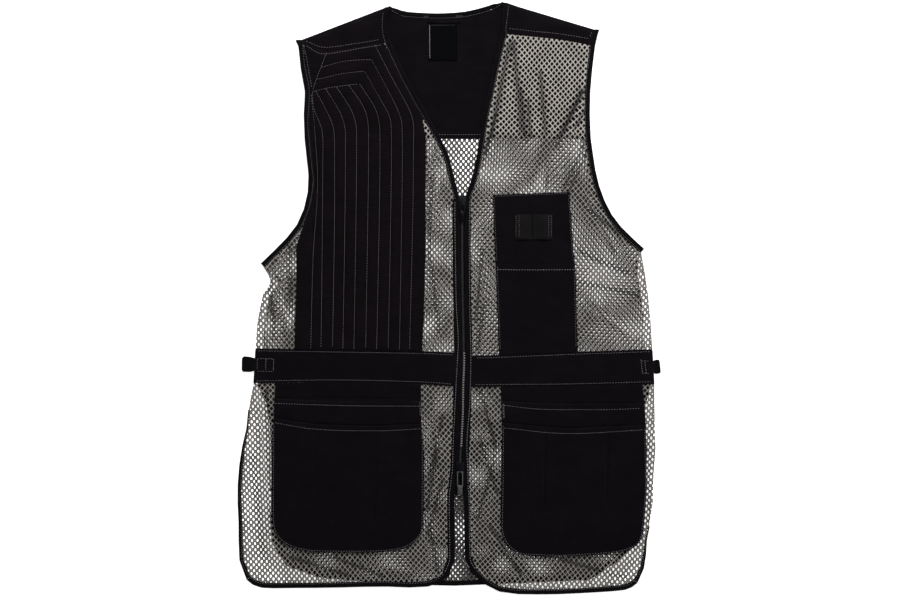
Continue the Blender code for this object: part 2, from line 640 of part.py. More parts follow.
def pocket_marks(pleats):
    """Fractions across a lower pocket, closer beside its two pleats."""
    first, second = pleats
    return (0, 0.05, 0.13, first - PLEAT_HALF, first, first + PLEAT_HALF, (first + second) / 2,
            second - PLEAT_HALF, second, second + PLEAT_HALF, 0.87, 0.95, 1)


def make_lower_pocket(name, pocket):
    """A lower pocket of three layers: its backing, an inner panel and a pleated outer panel."""
    marks = pocket_marks(pocket["pleats"])
    side = curve(pocket["side"], POCKET_DOWN_MARKS)
    inner = curve(pocket["inner"], POCKET_DOWN_MARKS)
    foot = curve(pocket["foot"], marks)
    belt = sorted(curve(pocket["belt"], evenly(20)), key=lambda p: p.x)
    top = [side[0].lerp(inner[0], s) for s in marks]
    top = [Vector((p.x, level_y(belt, p.x) - SEAM)) for p in top]
    side[0], inner[0] = top[0], top[-1]
    lift = ON_NET
    backing = between(side, inner, top, foot, marks, POCKET_DOWN_MARKS)
    wall(f"pocket_backing_{name}", [backing], above_front(lift), above_front(lift + POCKET_TWILL), BLACK_TWILL)

    lift += POCKET_LAYER
    starts = [Vector((level_x(row, y), y)) for row, y in zip((side, inner), pocket["first_mouth"])]
    mouth = [starts[0].lerp(starts[1], s) - Vector((0, FIRST_MOUTH_SAG * bow(s))) for s in marks]
    make_panel(f"pocket_inner_{name}", side, inner, mouth, foot, marks, POCKET_DOWN_MARKS, lift)

    lift += POCKET_LAYER
    ends = [pocket["second_mouth"][k][1] for k in (0, -1)]
    line = curve(pocket["second_mouth"], marks)
    line[0].x, line[-1].x = (level_x(row, y) for row, y in zip((side, inner), ends))
    make_panel(f"pocket_outer_{name}", side, inner, line, foot, marks, SWELL_MARKS, lift, pocket["pleats"])


def pocket_swell(s, t, pleats):
    """How far the outer panel stands up at a share s across it and t down it."""
    if s not in pleats:
        return PILLOW * math.sqrt(bow(s)) * ease((1 - t) * 4) * (0.5 + 0.5 * ease(t * 3))
    return max(0.0, pocket_swell(s - PLEAT_HALF, t, pleats) - PLEAT_DEPTH * (1 - ease(t / PLEAT_END)))


def make_panel(name, side, inner, mouth, foot, marks, down, lift, pleats=None):
    """A pocket panel from its mouth down. With pleats it swells, and each pleat is a groove."""
    low_side, low_inner = (curve([start] + [p for p in row if p.y < start.y - LEAST_STEP], down)
                           for row, start in ((side, mouth[0]), (inner, mouth[-1])))
    grid = between(low_side, low_inner, mouth, foot, marks, down)
    lifts = [[pocket_swell(s, t, pleats) if pleats else 0.0 for s in marks] for t in down]
    wall(name, [grid], above_front(lift), above_front(lift + POCKET_TWILL), BLACK_TWILL, [lifts])


CHEST_INNER = ((55.9, 130.6), (57.4, 88.1), (59.7, 35.8), (63.5, -72.3))
CHEST_OUTER = ((152.9, 134.4), (157.5, 63.3), (160.5, 35.8), (162.8, -68.3))
CHEST_MOUTH_Y = 42.0
CHEST_SWELL = 1.0
CHEST_COLUMNS = 6
CHEST_ROWS = 8
SHELL_LOOPS = ((84.3, 104.8), (106.0, 131.3))
SHELL_LOOP_Y = (105.9, 74.1)
LOOP_SWELL = 1.8


def make_chest_pocket():
    """The chest pocket: a board, a patch pocket on its lower half and two elastic shell loops."""
    marks = evenly(CHEST_COLUMNS)
    inner = curve(CHEST_INNER, evenly(CHEST_ROWS))
    outer = curve(CHEST_OUTER, evenly(CHEST_ROWS))
    top = [inner[0].lerp(outer[0], s) for s in marks]
    foot = [inner[-1].lerp(outer[-1], s) for s in marks]
    wall("chest_board", [between(inner, outer, top, foot, marks)], above_front(ON_NET),
         above_front(ON_NET + POCKET_TWILL), BLACK_TWILL)

    rows = evenly(CHEST_ROWS // 2)
    start, end = (Vector((level_x(row, CHEST_MOUTH_Y), CHEST_MOUTH_Y)) for row in (inner, outer))
    grid = [[start.lerp(inner[-1], t).lerp(end.lerp(outer[-1], t), s) for s in marks] for t in rows]
    lifts = [[CHEST_SWELL * math.sin(math.pi * s) * ease((1 - t) * 3) for s in marks] for t in rows]
    lift = ON_NET + POCKET_LAYER
    wall("chest_pocket", [grid], above_front(lift), above_front(lift + POCKET_TWILL), BLACK_TWILL, [lifts])

    for side, (x0, x1) in zip(("left", "right"), SHELL_LOOPS):
        grid = [[Vector((x0 + (x1 - x0) * s, y)) for s in marks] for y in SHELL_LOOP_Y]
        lifts = [[LOOP_SWELL * math.sin(math.pi * s) for s in marks] for _ in SHELL_LOOP_Y]
        wall(f"shell_loop_{side}", [grid], above_front(lift), above_front(lift + POCKET_TWILL), BLACK_TAPE,
             [lifts])


# Small pieces of tape

SIDE_LOOP_TOP = 3.4
# Each loop has sections from the belt outwards, with their upper and lower points.
SIDE_LOOPS = {
    "left": (((-246.4, -75.8), (-246.9, -94.2)), ((-260.6, -74.6), (-261.9, -93.6)),
             ((-262.9, -76.8), (-263.2, -91.6))),
    "right": (((259.0, -79.2), (259.9, -97.2)), ((266.6, -78.8), (268.3, -95.4)),
              ((267.5, -80.6), (268.9, -93.6))),
}
# Upper left corner, lower right corner, thickness and swell
YOKE_TAPES = {
    "neck_label": ((-26.2, 349.1), (10.4, 301.4), 1.0, 0.0),
    "hanging_loop": ((-27.9, 355.2), (16.5, 349.6), 1.1, 0.8),
}
TAPE_MARKS = evenly(4)
ON_BACK = BACK_NET + SEAM


def make_tapes():
    """Side webbing loops folded at their outer ends, the hanging loop and the bare neck label."""
    for name, sections in SIDE_LOOPS.items():
        grid = [[Vector(a).lerp(Vector(b), s) for s in evenly(2)] for a, b in sections]
        wall(f"side_loop_{name}", [grid], flat(0), flat(SIDE_LOOP_TOP), BLACK_TAPE)
    for name, (corner, opposite, thickness, swell) in YOKE_TAPES.items():
        xs = [corner[0] + (opposite[0] - corner[0]) * s for s in TAPE_MARKS]
        grid = [[Vector((x, y)) for x in xs] for y in (corner[1], opposite[1])]
        lifts = [[swell * math.sin(math.pi * s) for s in TAPE_MARKS] for _ in grid]
        wall(name, [grid], flat(ON_BACK), flat(ON_BACK + thickness), BLACK_TAPE, [lifts])


# The two-way zip

TAPE_ROWS = 16
TEETH_ROWS = 12
SLIDER_HALF = 9.0
SLIDER_WIDTH = 5.2
SLIDER_CORE = 2.5
PLATE = (1.9, 2.9)
BRIDGE_HALF_WIDTH = 0.8
BRIDGE_POST = (3.1, 4.5)
BRIDGE_GAP = 2.6
BRIDGE_BAR = 1.1
BRIDGE_SLOPE = 0.6
BRIDGE_SUNK = 0.4
PULL_THICK = 1.2
PULL_BAR_HALF = 0.7
PULL_ARM = 1.5
PULL_WAIST = 0.9
PULL_WAIST_REACH = 2.5
PULL_ROUND = 1.3
SLIDERS = {
    "upper": {"y": 121.0, "pivot": 118.0, "pull": 22.0, "slot": 9.0, "half_width": 3.6},
    "lower": {"y": -217.5, "pivot": -221.0, "pull": 29.5, "slot": 17.0, "half_width": 4.0},
}


def zip_x(y):
    """The middle of the zip at the level y."""
    return level_x([Vector(p) for p in ZIP_LINE], y)


def make_zip():
    """Two tapes, the closed row of teeth, and a slider with a swinging pull at each end."""
    levels = [ZIP_TOP + (ZIP_FOOT - ZIP_TOP) * t for t in evenly(TAPE_ROWS)]
    for hand, name in ((-1, "left"), (1, "right")):
        grid = [[Vector((zip_x(y) + hand * TAPE_OUTER, y)), Vector((zip_x(y) + hand * TAPE_INNER, y))]
                for y in levels]
        wall(f"zip_tape_{name}", [grid], above_front(-TAPE_BELOW), above_front(TAPE - TAPE_BELOW),
             BLACK_TAPE)
    top = SLIDERS["upper"]["y"] - SLIDER_HALF - SEAM
    foot = SLIDERS["lower"]["y"] + SLIDER_HALF + SEAM
    levels = [top + (foot - top) * t for t in evenly(TEETH_ROWS)]
    grid = [[Vector((zip_x(y) + side * TEETH_HALF_WIDTH, y)) for side in (-1, 1)] for y in levels]
    wall("zip_teeth", [grid], above_front(-BINDING_BELOW), above_front(BINDING_ABOVE), DARK_METAL)
    for name, slider in SLIDERS.items():
        make_slider(name, slider)


def extruded(profile, start, end, along_y):
    """A closed bmesh of a profile run along Y (points x, z) or along X (points y, z)."""
    mesh = bmesh.new()
    ends = []
    for reach in (start, end):
        ends.append([mesh.verts.new((a, reach, z) if along_y else (reach, a, z)) for a, z in profile])
    mesh.faces.new(ends[0])
    mesh.faces.new(ends[1])
    for k in range(len(profile)):
        n = (k + 1) % len(profile)
        mesh.faces.new((ends[0][k], ends[0][n], ends[1][n], ends[1][k]))
    return mesh


def make_slider(name, slider):
    """A slider's body with its bridge, and its pull, whose end bar swings under the bridge."""
    x = zip_x(slider["y"])
    z = front_height(x, slider["y"])
    low, high = PLATE
    body = [(-SLIDER_CORE, -BINDING_BELOW), (SLIDER_CORE, -BINDING_BELOW), (SLIDER_CORE, low),
            (SLIDER_WIDTH, low), (SLIDER_WIDTH, high), (-SLIDER_WIDTH, high), (-SLIDER_WIDTH, low),
            (-SLIDER_CORE, low)]
    mesh = extruded(body, -SLIDER_HALF, SLIDER_HALF, True)
    mesh.transform(Matrix.Translation((x, slider["y"], z)))
    thing = finish(mesh, f"slider_{name}", DARK_METAL, 0.4, 0.8)

    near, far = BRIDGE_POST
    under, over = high + BRIDGE_GAP, high + BRIDGE_GAP + BRIDGE_BAR
    sunk = high - BRIDGE_SUNK
    arch = [(-far, sunk), (-near, sunk), (-near, under), (near, under), (near, sunk), (far, sunk),
            (far, over - BRIDGE_SLOPE), (near, over), (-near, over), (-far, over - BRIDGE_SLOPE)]
    mesh = extruded(arch, -BRIDGE_HALF_WIDTH, BRIDGE_HALF_WIDTH, False)
    mesh.transform(Matrix.Translation((x, slider["pivot"], z)))
    bridge = finish(mesh, f"slider_{name}_bridge", DARK_METAL, 0.4, 0.8)
    bridge.hide_render = True
    bridge.display_type = "WIRE"
    union = thing.modifiers.new("bridge", "BOOLEAN")
    union.operation = "UNION"
    union.object = bridge
    make_pull(name, slider, Vector((x, slider["pivot"], z + high + 0.5 * BRIDGE_GAP)))


def make_pull(name, slider, pivot):
    """A flat pull with a slot, lying along the zip. Its origin is on its swing axis."""
    reach, slot, half = slider["pull"], slider["slot"], slider["half_width"]
    waist = half - PULL_WAIST
    below_slot = -slot - PULL_WAIST_REACH
    one_side = [(half, PULL_BAR_HALF), (half, -slot), (waist, below_slot), (waist, PULL_ROUND - reach),
                (waist - PULL_ROUND, -reach)]
    outer = one_side + [(-px, py) for px, py in reversed(one_side)]
    inner = half - PULL_ARM
    one_side = [(inner, -PULL_BAR_HALF), (inner, PULL_ROUND - slot), (inner - PULL_ROUND, -slot)]
    hole = one_side + [(-px, py) for px, py in reversed(one_side)]
    mesh = bmesh.new()
    loops = []
    for points in (outer, hole):
        verts = [mesh.verts.new((px, py, -0.5 * PULL_THICK)) for px, py in points]
        loops += [mesh.edges.new((a, b)) for a, b in zip(verts, verts[1:] + verts[:1])]
    bmesh.ops.triangle_fill(mesh, use_beauty=True, use_dissolve=False, edges=loops)
    raised_up = bmesh.ops.extrude_face_region(mesh, geom=list(mesh.faces))
    moved = [v for v in raised_up["geom"] if isinstance(v, bmesh.types.BMVert)]
    bmesh.ops.translate(mesh, verts=moved, vec=(0, 0, PULL_THICK))
    thing = finish(mesh, f"pull_{name}", DARK_METAL, 0.35, 0.9)
    thing.location = pivot * MM


for old in list(bpy.data.objects):
    bpy.data.objects.remove(old, do_unlink=True)
make_back()
make_front(LEFT, "left")
make_front(RIGHT, "right")
make_patch()
for pocket_name, pocket_sizes in LOWER_POCKETS.items():
    make_lower_pocket(pocket_name, pocket_sizes)
make_chest_pocket()
make_tapes()
make_zip()
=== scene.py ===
"""A sleeveless shooting vest laid flat on its back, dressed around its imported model.

The pieces come in the order in which the vest is sewn: the back, the net fronts, the shoulders,
the quilted patch, the pockets, the belt, the bindings, the zip and its sliders. Points and folds
are in millimetres, with x to the viewer's right and y towards the neck.
"""

import math
import random

import bmesh
import bpy
from mathutils import Matrix, Vector, geometry, noise
from mathutils.bvhtree import BVHTree
from mathutils.kdtree import KDTree


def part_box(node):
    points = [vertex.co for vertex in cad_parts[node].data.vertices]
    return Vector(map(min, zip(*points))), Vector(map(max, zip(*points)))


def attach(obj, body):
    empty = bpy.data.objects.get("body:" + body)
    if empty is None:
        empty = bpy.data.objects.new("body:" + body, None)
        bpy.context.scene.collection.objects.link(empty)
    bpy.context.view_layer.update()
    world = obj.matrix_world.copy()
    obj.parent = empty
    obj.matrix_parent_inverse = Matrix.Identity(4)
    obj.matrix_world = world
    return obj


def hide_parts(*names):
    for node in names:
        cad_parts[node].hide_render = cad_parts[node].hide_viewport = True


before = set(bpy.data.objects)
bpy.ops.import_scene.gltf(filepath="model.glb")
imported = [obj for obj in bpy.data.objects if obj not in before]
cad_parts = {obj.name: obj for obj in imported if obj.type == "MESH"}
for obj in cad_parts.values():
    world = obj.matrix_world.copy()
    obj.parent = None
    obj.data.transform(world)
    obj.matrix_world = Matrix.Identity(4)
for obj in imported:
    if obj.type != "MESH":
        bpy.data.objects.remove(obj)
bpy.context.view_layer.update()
MM = 0.001
# Corners of a mesh that are nearer than this are joined
WELD = 0.01 * MM
# How far above or under the vest a ray starts that looks for a skin
RAY_START = 50 * MM
# The noise takes its seed from the clock unless it is given one
NOISE_SEED = 1
noise.seed_set(NOISE_SEED)


# Finishes, closed shells, folds and stitches, which all the pieces share.

# How wide one band of a wave texture is at a scale of 1
WAVE_BAND = 0.314


def set_inputs(node, values):
    """Sets a shader node's named inputs."""
    for name, value in values.items():
        node.inputs[name].default_value = value


def add_node(tree, kind, values=None, **settings):
    """A new shader node of the given kind, with its settings and then its named inputs."""
    node = tree.nodes.new("ShaderNode" + kind)
    for name, value in settings.items():
        setattr(node, name, value)
    set_inputs(node, values or {})
    return node


def join(source, output, target, socket):
    """Links a shader node's output to another node's input."""
    source.id_data.links.new(source.outputs[output], target.inputs[socket])


def new_finish(name):
    """A new material, its node tree and its shader."""
    finish = bpy.data.materials.new(name)
    finish.use_nodes = True
    return finish, finish.node_tree, finish.node_tree.nodes["Principled BSDF"]


def fabric(name, dark, light, ribs, turn, relief, roughness,
           gloss=0.2, sheen=0.2, mottle=45.0, ripple=None):
    """Woven cloth: fine ribs at a slant, threads of uneven thickness and broad soft patches of wear.

    The ribs are given by their width in millimetres. A ripple, given by its scale in x and y and
    its depth in millimetres, rumples the cloth softly.
    """
    cloth, tree, shader = new_finish(name)
    set_inputs(shader, {"Specular IOR Level": gloss, "Sheen Weight": sheen, "Sheen Roughness": 0.45})
    place = add_node(tree, "TexCoord")
    slant = add_node(tree, "Mapping", {"Rotation": (0, 0, math.radians(turn))})
    join(place, "Object", slant, "Vector")

    weave = add_node(tree, "TexWave", {"Scale": WAVE_BAND / (ribs * MM), "Distortion": 1.6,
                                       "Detail": 2.0, "Detail Scale": 3.0})
    join(slant, "Vector", weave, "Vector")
    slubs = add_node(tree, "TexNoise", {"Scale": 1 / (1.4 * ribs * MM), "Detail": 3.0})
    join(slant, "Vector", slubs, "Vector")
    patches = add_node(tree, "TexNoise", {"Scale": mottle, "Detail": 4.0})
    join(place, "Object", patches, "Vector")

    thread = add_node(tree, "Mix", {"Factor": 0.4}, data_type="FLOAT")
    join(weave, "Fac", thread, "A")
    join(slubs, "Fac", thread, "B")
    shade = add_node(tree, "Math", operation="MULTIPLY")
    join(thread, "Result", shade, 0)
    join(patches, "Fac", shade, 1)
    colour = add_node(tree, "MapRange", {"From Min": 0.05, "From Max": 0.45})
    join(shade, "Value", colour, "Value")
    dye = add_node(tree, "Mix", {"A": (*dark, 1), "B": (*light, 1)}, data_type="RGBA")
    join(colour, "Result", dye, "Factor")
    join(dye, "Result", shader, "Base Color")

    rough = add_node(tree, "MapRange", {"To Min": roughness - 0.08,
                                        "To Max": min(1.0, roughness + 0.08)})
    join(patches, "Fac", rough, "Value")
    join(rough, "Result", shader, "Roughness")
    bump = add_node(tree, "Bump", {"Strength": relief, "Distance": 0.2 * ribs * MM})
    join(thread, "Result", bump, "Height")
    join(bump, "Normal", shader, "Normal")
    if ripple:
        across, along, depth = ripple
        drawn = add_node(tree, "Mapping", {"Scale": (across, along, across)})
        join(place, "Object", drawn, "Vector")
        rumples = add_node(tree, "TexNoise", {"Scale": 1.0, "Detail": 2.0})
        join(drawn, "Vector", rumples, "Vector")
        folds = add_node(tree, "Bump", {"Strength": 1.0, "Distance": depth * MM})
        join(rumples, "Fac", folds, "Height")
        join(folds, "Normal", bump, "Normal")
    return cloth


def cad_mesh(node):
    """A CAD node's mesh, with its faces joined at their corners."""
    mesh = bmesh.new()
    mesh.from_mesh(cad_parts[node].data)
    bmesh.ops.remove_doubles(mesh, verts=mesh.verts, dist=WELD)
    return mesh


# Edges of a CAD node that bend by more than this, in radians, stay as corners
CORNER_ANGLE = 0.6
# How far from a rectangle, in radians, a face may be that is joined from two triangles
QUAD_SKEW = 1.4
# How often the long edges are halved, at most
CUT_ROUNDS = 7
# An edge is upright if it rises by more than this share of its length
UPRIGHT = 0.7


def shell_of(node, longest):
    """A fine closed shell on a CAD node's form, with no edge much longer than the given millimetres."""
    cloth = cad_mesh(node)
    bmesh.ops.join_triangles(cloth, faces=cloth.faces, angle_face_threshold=CORNER_ANGLE,
                             angle_shape_threshold=QUAD_SKEW)
    for _ in range(CUT_ROUNDS):
        long_edges = [e for e in cloth.edges if e.calc_length() > longest * MM]
        if not long_edges:
            break
        bmesh.ops.subdivide_edges(cloth, edges=long_edges, cuts=1, use_grid_fill=True)
    sharp = cloth.verts.layers.float.new("crease_vert")
    for e in cloth.edges:
        upright = abs(e.verts[0].co.z - e.verts[1].co.z) > UPRIGHT * e.calc_length()
        if upright and len(e.link_faces) == 2 and e.calc_face_angle() > CORNER_ANGLE:
            for v in e.verts:
                v[sharp] = 1.0
    return cloth


# The most that a pinch draws in, and how much painted shade darkens a net's threads in a trough
PINCH_LIMIT = 0.7
TROUGH_SHADE = 0.45
# Where the cuts for a narrow fold lie, in its half widths
FOLD_CUTS = (-1.2, -0.6, 0, 0.6, 1.2)


def crease(cloth, folds, pinch=0.0):
    """Soft ridges and troughs, each x0, y0, x1, y1, half width and height.

    A pinch draws the cloth in to them. On a net, a trough's threads are shaded too.
    """
    crest = cloth.verts.layers.float.get("crest")
    for x0, y0, x1, y1, half, height in folds:
        start, run = Vector((x0, y0)) * MM, Vector((x1 - x0, y1 - y0)) * MM
        for v in cloth.verts:
            share = max(0.0, min(1.0, (v.co.xy - start).dot(run) / run.length_squared))
            away = v.co.xy - start - run * share
            reach = away.length / (half * MM)
            if reach < 1:
                rise = (1 - reach * reach) ** 2
                v.co.z += height * MM * rise
                v.co.xy -= away * min(PINCH_LIMIT, pinch * abs(height)) * rise
                # Painted shade: a trough darkens the net's threads through their crest value
                if crest and height < 0:
                    v[crest] *= 1 - TROUGH_SHADE * rise


def refine(cloth, folds):
    """Cuts the cloth along narrow folds, so that its mesh can follow them."""
    for x0, y0, x1, y1, half, _height in folds:
        run = Vector((x1 - x0, y1 - y0, 0))
        across = Vector((-run.y, run.x, 0)).normalized()
        for share in FOLD_CUTS:
            spot = Vector((x0, y0, 0)) * MM + across * half * share * MM
            bmesh.ops.bisect_plane(cloth, geom=[*cloth.verts, *cloth.edges, *cloth.faces], dist=WELD,
                                   plane_co=spot, plane_no=across)


def tug(cloth, moves):
    """Draws corners of a cloth aside, each given by x, y, its move in x and y, and its reach."""
    for x, y, across, up, reach in moves:
        for v in cloth.verts:
            share = 1 - (v.co.xy - Vector((x, y)) * MM).length / (reach * MM)
            if share > 0:
                v.co.xy += Vector((across, up)) * MM * min(1.0, 2 * share)


def swell(cloth, distance, level=False):
    """Moves a closed shell's skin outwards, or only its rim if it stays level."""
    cloth.normal_update()
    for v in cloth.verts:
        v.co += v.normal * distance * MM * Vector((1, 1, 0 if level else 1))


def in_scene(name, data):
    """A new object in the scene, which shows the given data."""
    thing = bpy.data.objects.new(name, data)
    bpy.context.scene.collection.objects.link(thing)
    return thing


def mesh_object(name, mesh, material):
    """A new object made from a bmesh, in one material."""
    data = bpy.data.meshes.new(name)
    mesh.to_mesh(data)
    mesh.free()
    data.materials.append(material)
    return in_scene(name, data)


def piece(name, mesh, material, replaced=(), body="garment", levels=1):
    """A finished piece of the vest from a bmesh, riding on its body and standing for its CAD nodes."""
    for v in mesh.verts:
        v.co.z = max(v.co.z, 0.0)
    for f in mesh.faces:
        f.smooth = True
    thing = mesh_object(name, mesh, material)
    if levels:
        soften = thing.modifiers.new("soften", "SUBSURF")
        soften.levels = levels
        soften.render_levels = levels
    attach(thing, body)
    if replaced:
        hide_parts(*replaced)
    return thing


CURVE_STEPS = 12


def smooth_line(points, spacing):
    """Points in metres, evenly spaced on a smooth line through the given x, y in millimetres."""
    row = [Vector((x, y, 0)) * MM for x, y in points]
    row = [2 * row[0] - row[1], *row, 2 * row[-1] - row[-2]]
    path = []
    for before, start, end, after in zip(row, row[1:], row[2:], row[3:]):
        first_handle = start + (end - before) / 6
        last_handle = end - (after - start) / 6
        path += geometry.interpolate_bezier(start, first_handle, last_handle, end, CURVE_STEPS)[:-1]
    path.append(row[-2])
    even, left = [path[0]], spacing * MM
    for a, b in zip(path, path[1:]):
        span = (b - a).length
        while span > left:
            a = a.lerp(b, left / span)
            span -= left
            left = spacing * MM
            even.append(a)
        left -= span
    return even


def repeated(shape, places):
    """One bmesh that holds a copy of a small bmesh at each place."""
    pattern = bpy.data.meshes.new("pattern")
    shape.to_mesh(pattern)
    shape.free()
    row = bmesh.new()
    for place in places:
        copy = pattern.copy()
        copy.transform(place)
        row.from_mesh(copy)
        bpy.data.meshes.remove(copy)
    bpy.data.meshes.remove(pattern)
    return row


# A stitch's length, the gap to the next, the thread's half width and its rise over the cloth
STITCH = 2.5
STITCH_GAP = 0.9
THREAD_HALF = 0.36
THREAD_RISE = 0.1
# How much stitches differ, in turn and in length
STITCH_TURNS = (-0.06, 0.06)
STITCH_LENGTHS = (0.92, 1.06)
needle = random.Random(11)


def surface(skin, spot, side=1):
    """Where a skin is met at a spot from above (1) or from under it (-1), if it is met."""
    return skin.ray_cast(Vector((spot.x, spot.y, RAY_START * side)), Vector((0, 0, -side)))[0]


def sew(name, lines, cloths, material=None, under=False, stitch=STITCH, thread=THREAD_HALF):
    """Rows of lockstitches on the cloths, on top or underneath, in grey thread if none is given."""
    skins = [BVHTree.FromObject(c, bpy.context.evaluated_depsgraph_get()) for c in cloths]
    side = -1 if under else 1
    places = []
    for line in lines:
        path = smooth_line(line, stitch + STITCH_GAP)
        for a, b in zip(path, path[1:]):
            middle = a.lerp(b, 0.5)
            heights = [hit.z for hit in (surface(skin, middle, side) for skin in skins) if hit]
            if not heights:
                continue
            outermost = min(heights) if under else max(heights)
            spot = Vector((middle.x, middle.y, outermost + side * THREAD_RISE * MM))
            turn = math.atan2(b.y - a.y, b.x - a.x) + needle.uniform(*STITCH_TURNS)
            size = Matrix.Diagonal((needle.uniform(*STITCH_LENGTHS), 1, 1, 1))
            places.append(Matrix.Translation(spot) @ Matrix.Rotation(turn, 4, "Z") @ size)
    loop = bmesh.new()
    bmesh.ops.create_icosphere(loop, subdivisions=1, radius=1)
    bmesh.ops.scale(loop, verts=loop.verts, vec=(0.5 * stitch * MM, thread * MM, 0.6 * thread * MM))
    return piece(name, repeated(loop, places), material or grey_thread, levels=0)


# The back yoke: one panel of black cotton twill across the shoulder blades, seen inside the
# neck opening. It is cut in one piece and topstitched along its lower edge, over the net.

TWILL = {"ribs": 0.9, "turn": 63, "relief": 0.5, "roughness": 0.86, "gloss": 0.05, "sheen": 0.04}
THREAD = {"ribs": 0.35, "turn": 20, "relief": 0.4, "roughness": 0.7, "mottle": 300.0}
black_twill = fabric("black_twill", (0.0016, 0.0010, 0.0017), (0.0052, 0.0036, 0.0056), **TWILL,
                     ripple=(24, 36, 5.0))
grey_thread = fabric("grey_thread", (0.085, 0.078, 0.086), (0.19, 0.18, 0.19), **THREAD)


def panel(name, node, longest, finish=black_twill,
          cuts=(), folds=(), moves=(), grow=0.0, level=True):
    """A panel: cut along its narrow folds, creased, tugged, and grown over its seams."""
    cloth = shell_of(node, longest)
    refine(cloth, cuts)
    crease(cloth, folds)
    tug(cloth, moves)
    swell(cloth, grow, level)
    return piece(name, cloth, finish, [node])


YOKE_CREASES = ((-120, 330, -60, 215, 20, 0.25), (40, 345, 95, 220, 24, 0.3), (-20, 290, 10, 210, 16, 0.2))
YOKE_FOOT = ((-170, 207.5), (-90, 207.8), (-10, 207.6), (80, 207.8), (168, 207.4))
yoke = panel("yoke_twill", "back_yoke", 12, folds=YOKE_CREASES, grow=1.0)
yoke_stitches = sew("yoke_stitches", [YOKE_FOOT], [yoke])
yoke_back_stitches = sew("yoke_back_stitches", [YOKE_FOOT], [yoke], under=True)


# The neck label and the hanging loop: a plain woven label with one pale edge thread, sewn on
# at its top, and a short tape caught at both ends in the neck seam.

black_tape = fabric("black_tape", (0.0014, 0.0012, 0.0015), (0.0060, 0.0050, 0.0062),
                    ribs=1.3, turn=0, relief=0.8, roughness=0.85, gloss=0.03, sheen=0.03)
label_satin = fabric("label_satin", (0.0005, 0.0006, 0.0009), (0.0014, 0.0016, 0.0024),
                     ribs=0.4, turn=90, relief=0.3, roughness=0.6, gloss=0.02, sheen=0.0)
pale_thread = fabric("pale_thread", (0.16, 0.16, 0.17), (0.30, 0.30, 0.31), **THREAD)
white_thread = fabric("white_thread", (0.45, 0.45, 0.46), (0.70, 0.70, 0.72), **THREAD)

LABEL_EDGE = ((-24.8, 347), (-24.4, 304))
LABEL_TOP = ((-24, 346.6), (8.6, 346.9))
label = panel("label_satin_tab", "neck_label", 4, label_satin)
label_edge = sew("label_edge", [LABEL_EDGE], [label], white_thread, stitch=1.6, thread=0.42)
label_stitches = sew("label_stitches", [LABEL_TOP], [label], stitch=1.2, thread=0.22)
loop_tape = panel("hanging_loop_tape", "hanging_loop", 3, black_tape, grow=0.15, level=False)


# The back net and the game pouch: open knitted polyester with staggered eyelets. The pouch is
# a second layer of the same net, sewn over the lower back at its sides and hem.

# Eyelets: their spacing across and down, their size, their first inset and how they vary
EYELET_PITCH = 6.65
EYELET_ROWS = 7.55
EYELET_WIDE = 2.45
EYELET_TALL = 3.4
EYELET_INSET = 0.9
EYELET_VARY = 0.16
EYELET_WAVES = 60
# How far the net lies under the CAD's skin, and its strands' sides under that
NET_STEP = 0.3
STRAND_DROP = 0.8
# How far the net runs in under its binding, past the outline
NET_TUCK = 0.8
# Spare diamonds, so that the slanted grid covers the net's corners
NET_SPARE = 12
# Past an edge, the nearest skin is looked for from this level, and its height just inside
SKIN_LEVEL = 3
JUST_INSIDE = 0.1
# Each stretch of the outline cuts the faces whose middle is as near to it as this
CUT_REACH = 4
CUT_WELD = 0.001
# The net's sway, broad and fine: how many millimetres, and over how many waves a metre
SWAYS = ((2.6, 8), (0.9, 24))
# Below the yoke's foot the net is drawn open, which widens its eyelets; its threads there take painted
# shade
STRETCH_TOP = 212.5
STRETCH_SPAN = 10
STRETCH_OPEN = 0.14
BELOW_YOKE_SHADE = 0.26
# Eyelets this near to an edge are drawn in, by this share at most
EDGE_REACH = 3.4
EDGE_CLOSE = 0.65


def stretched(y):
    """How far the net at a height on the vest is drawn open and its threads painted darker as shade, from
    0 on the yoke to 1 below it.
    """
    return max(0.0, min(1.0, (STRETCH_TOP * MM - y) / (STRETCH_SPAN * MM)))


def form_and_outline(node):
    """A CAD node's skin, and its outline in stretches: each a middle, a way out and a half length."""
    solid = cad_mesh(node)
    solid.normal_update()
    form = BVHTree.FromBMesh(solid)
    outline = []
    for e in solid.edges:
        upper, wall = sorted(e.link_faces, key=lambda f: -f.normal.z)
        if upper.normal.z > 0.5 > abs(wall.normal.z):
            middle = (e.verts[0].co + e.verts[1].co) / 2
            outline.append((middle.xy, wall.normal.xy.normalized(), e.calc_length() / 2))
    solid.free()
    return form, outline


def hold(form, spot):
    """The height of the form's skin at a spot, and how far past its edge the spot lies."""
    hit = surface(form, spot)
    if hit:
        return hit.z, 0.0
    hit = form.find_nearest(Vector((spot.x, spot.y, SKIN_LEVEL * MM)))[0]
    away = hit.xy - spot.xy
    top = surface(form, hit.xy + away.normalized() * JUST_INSIDE * MM)
    return (top or hit).z, away.length


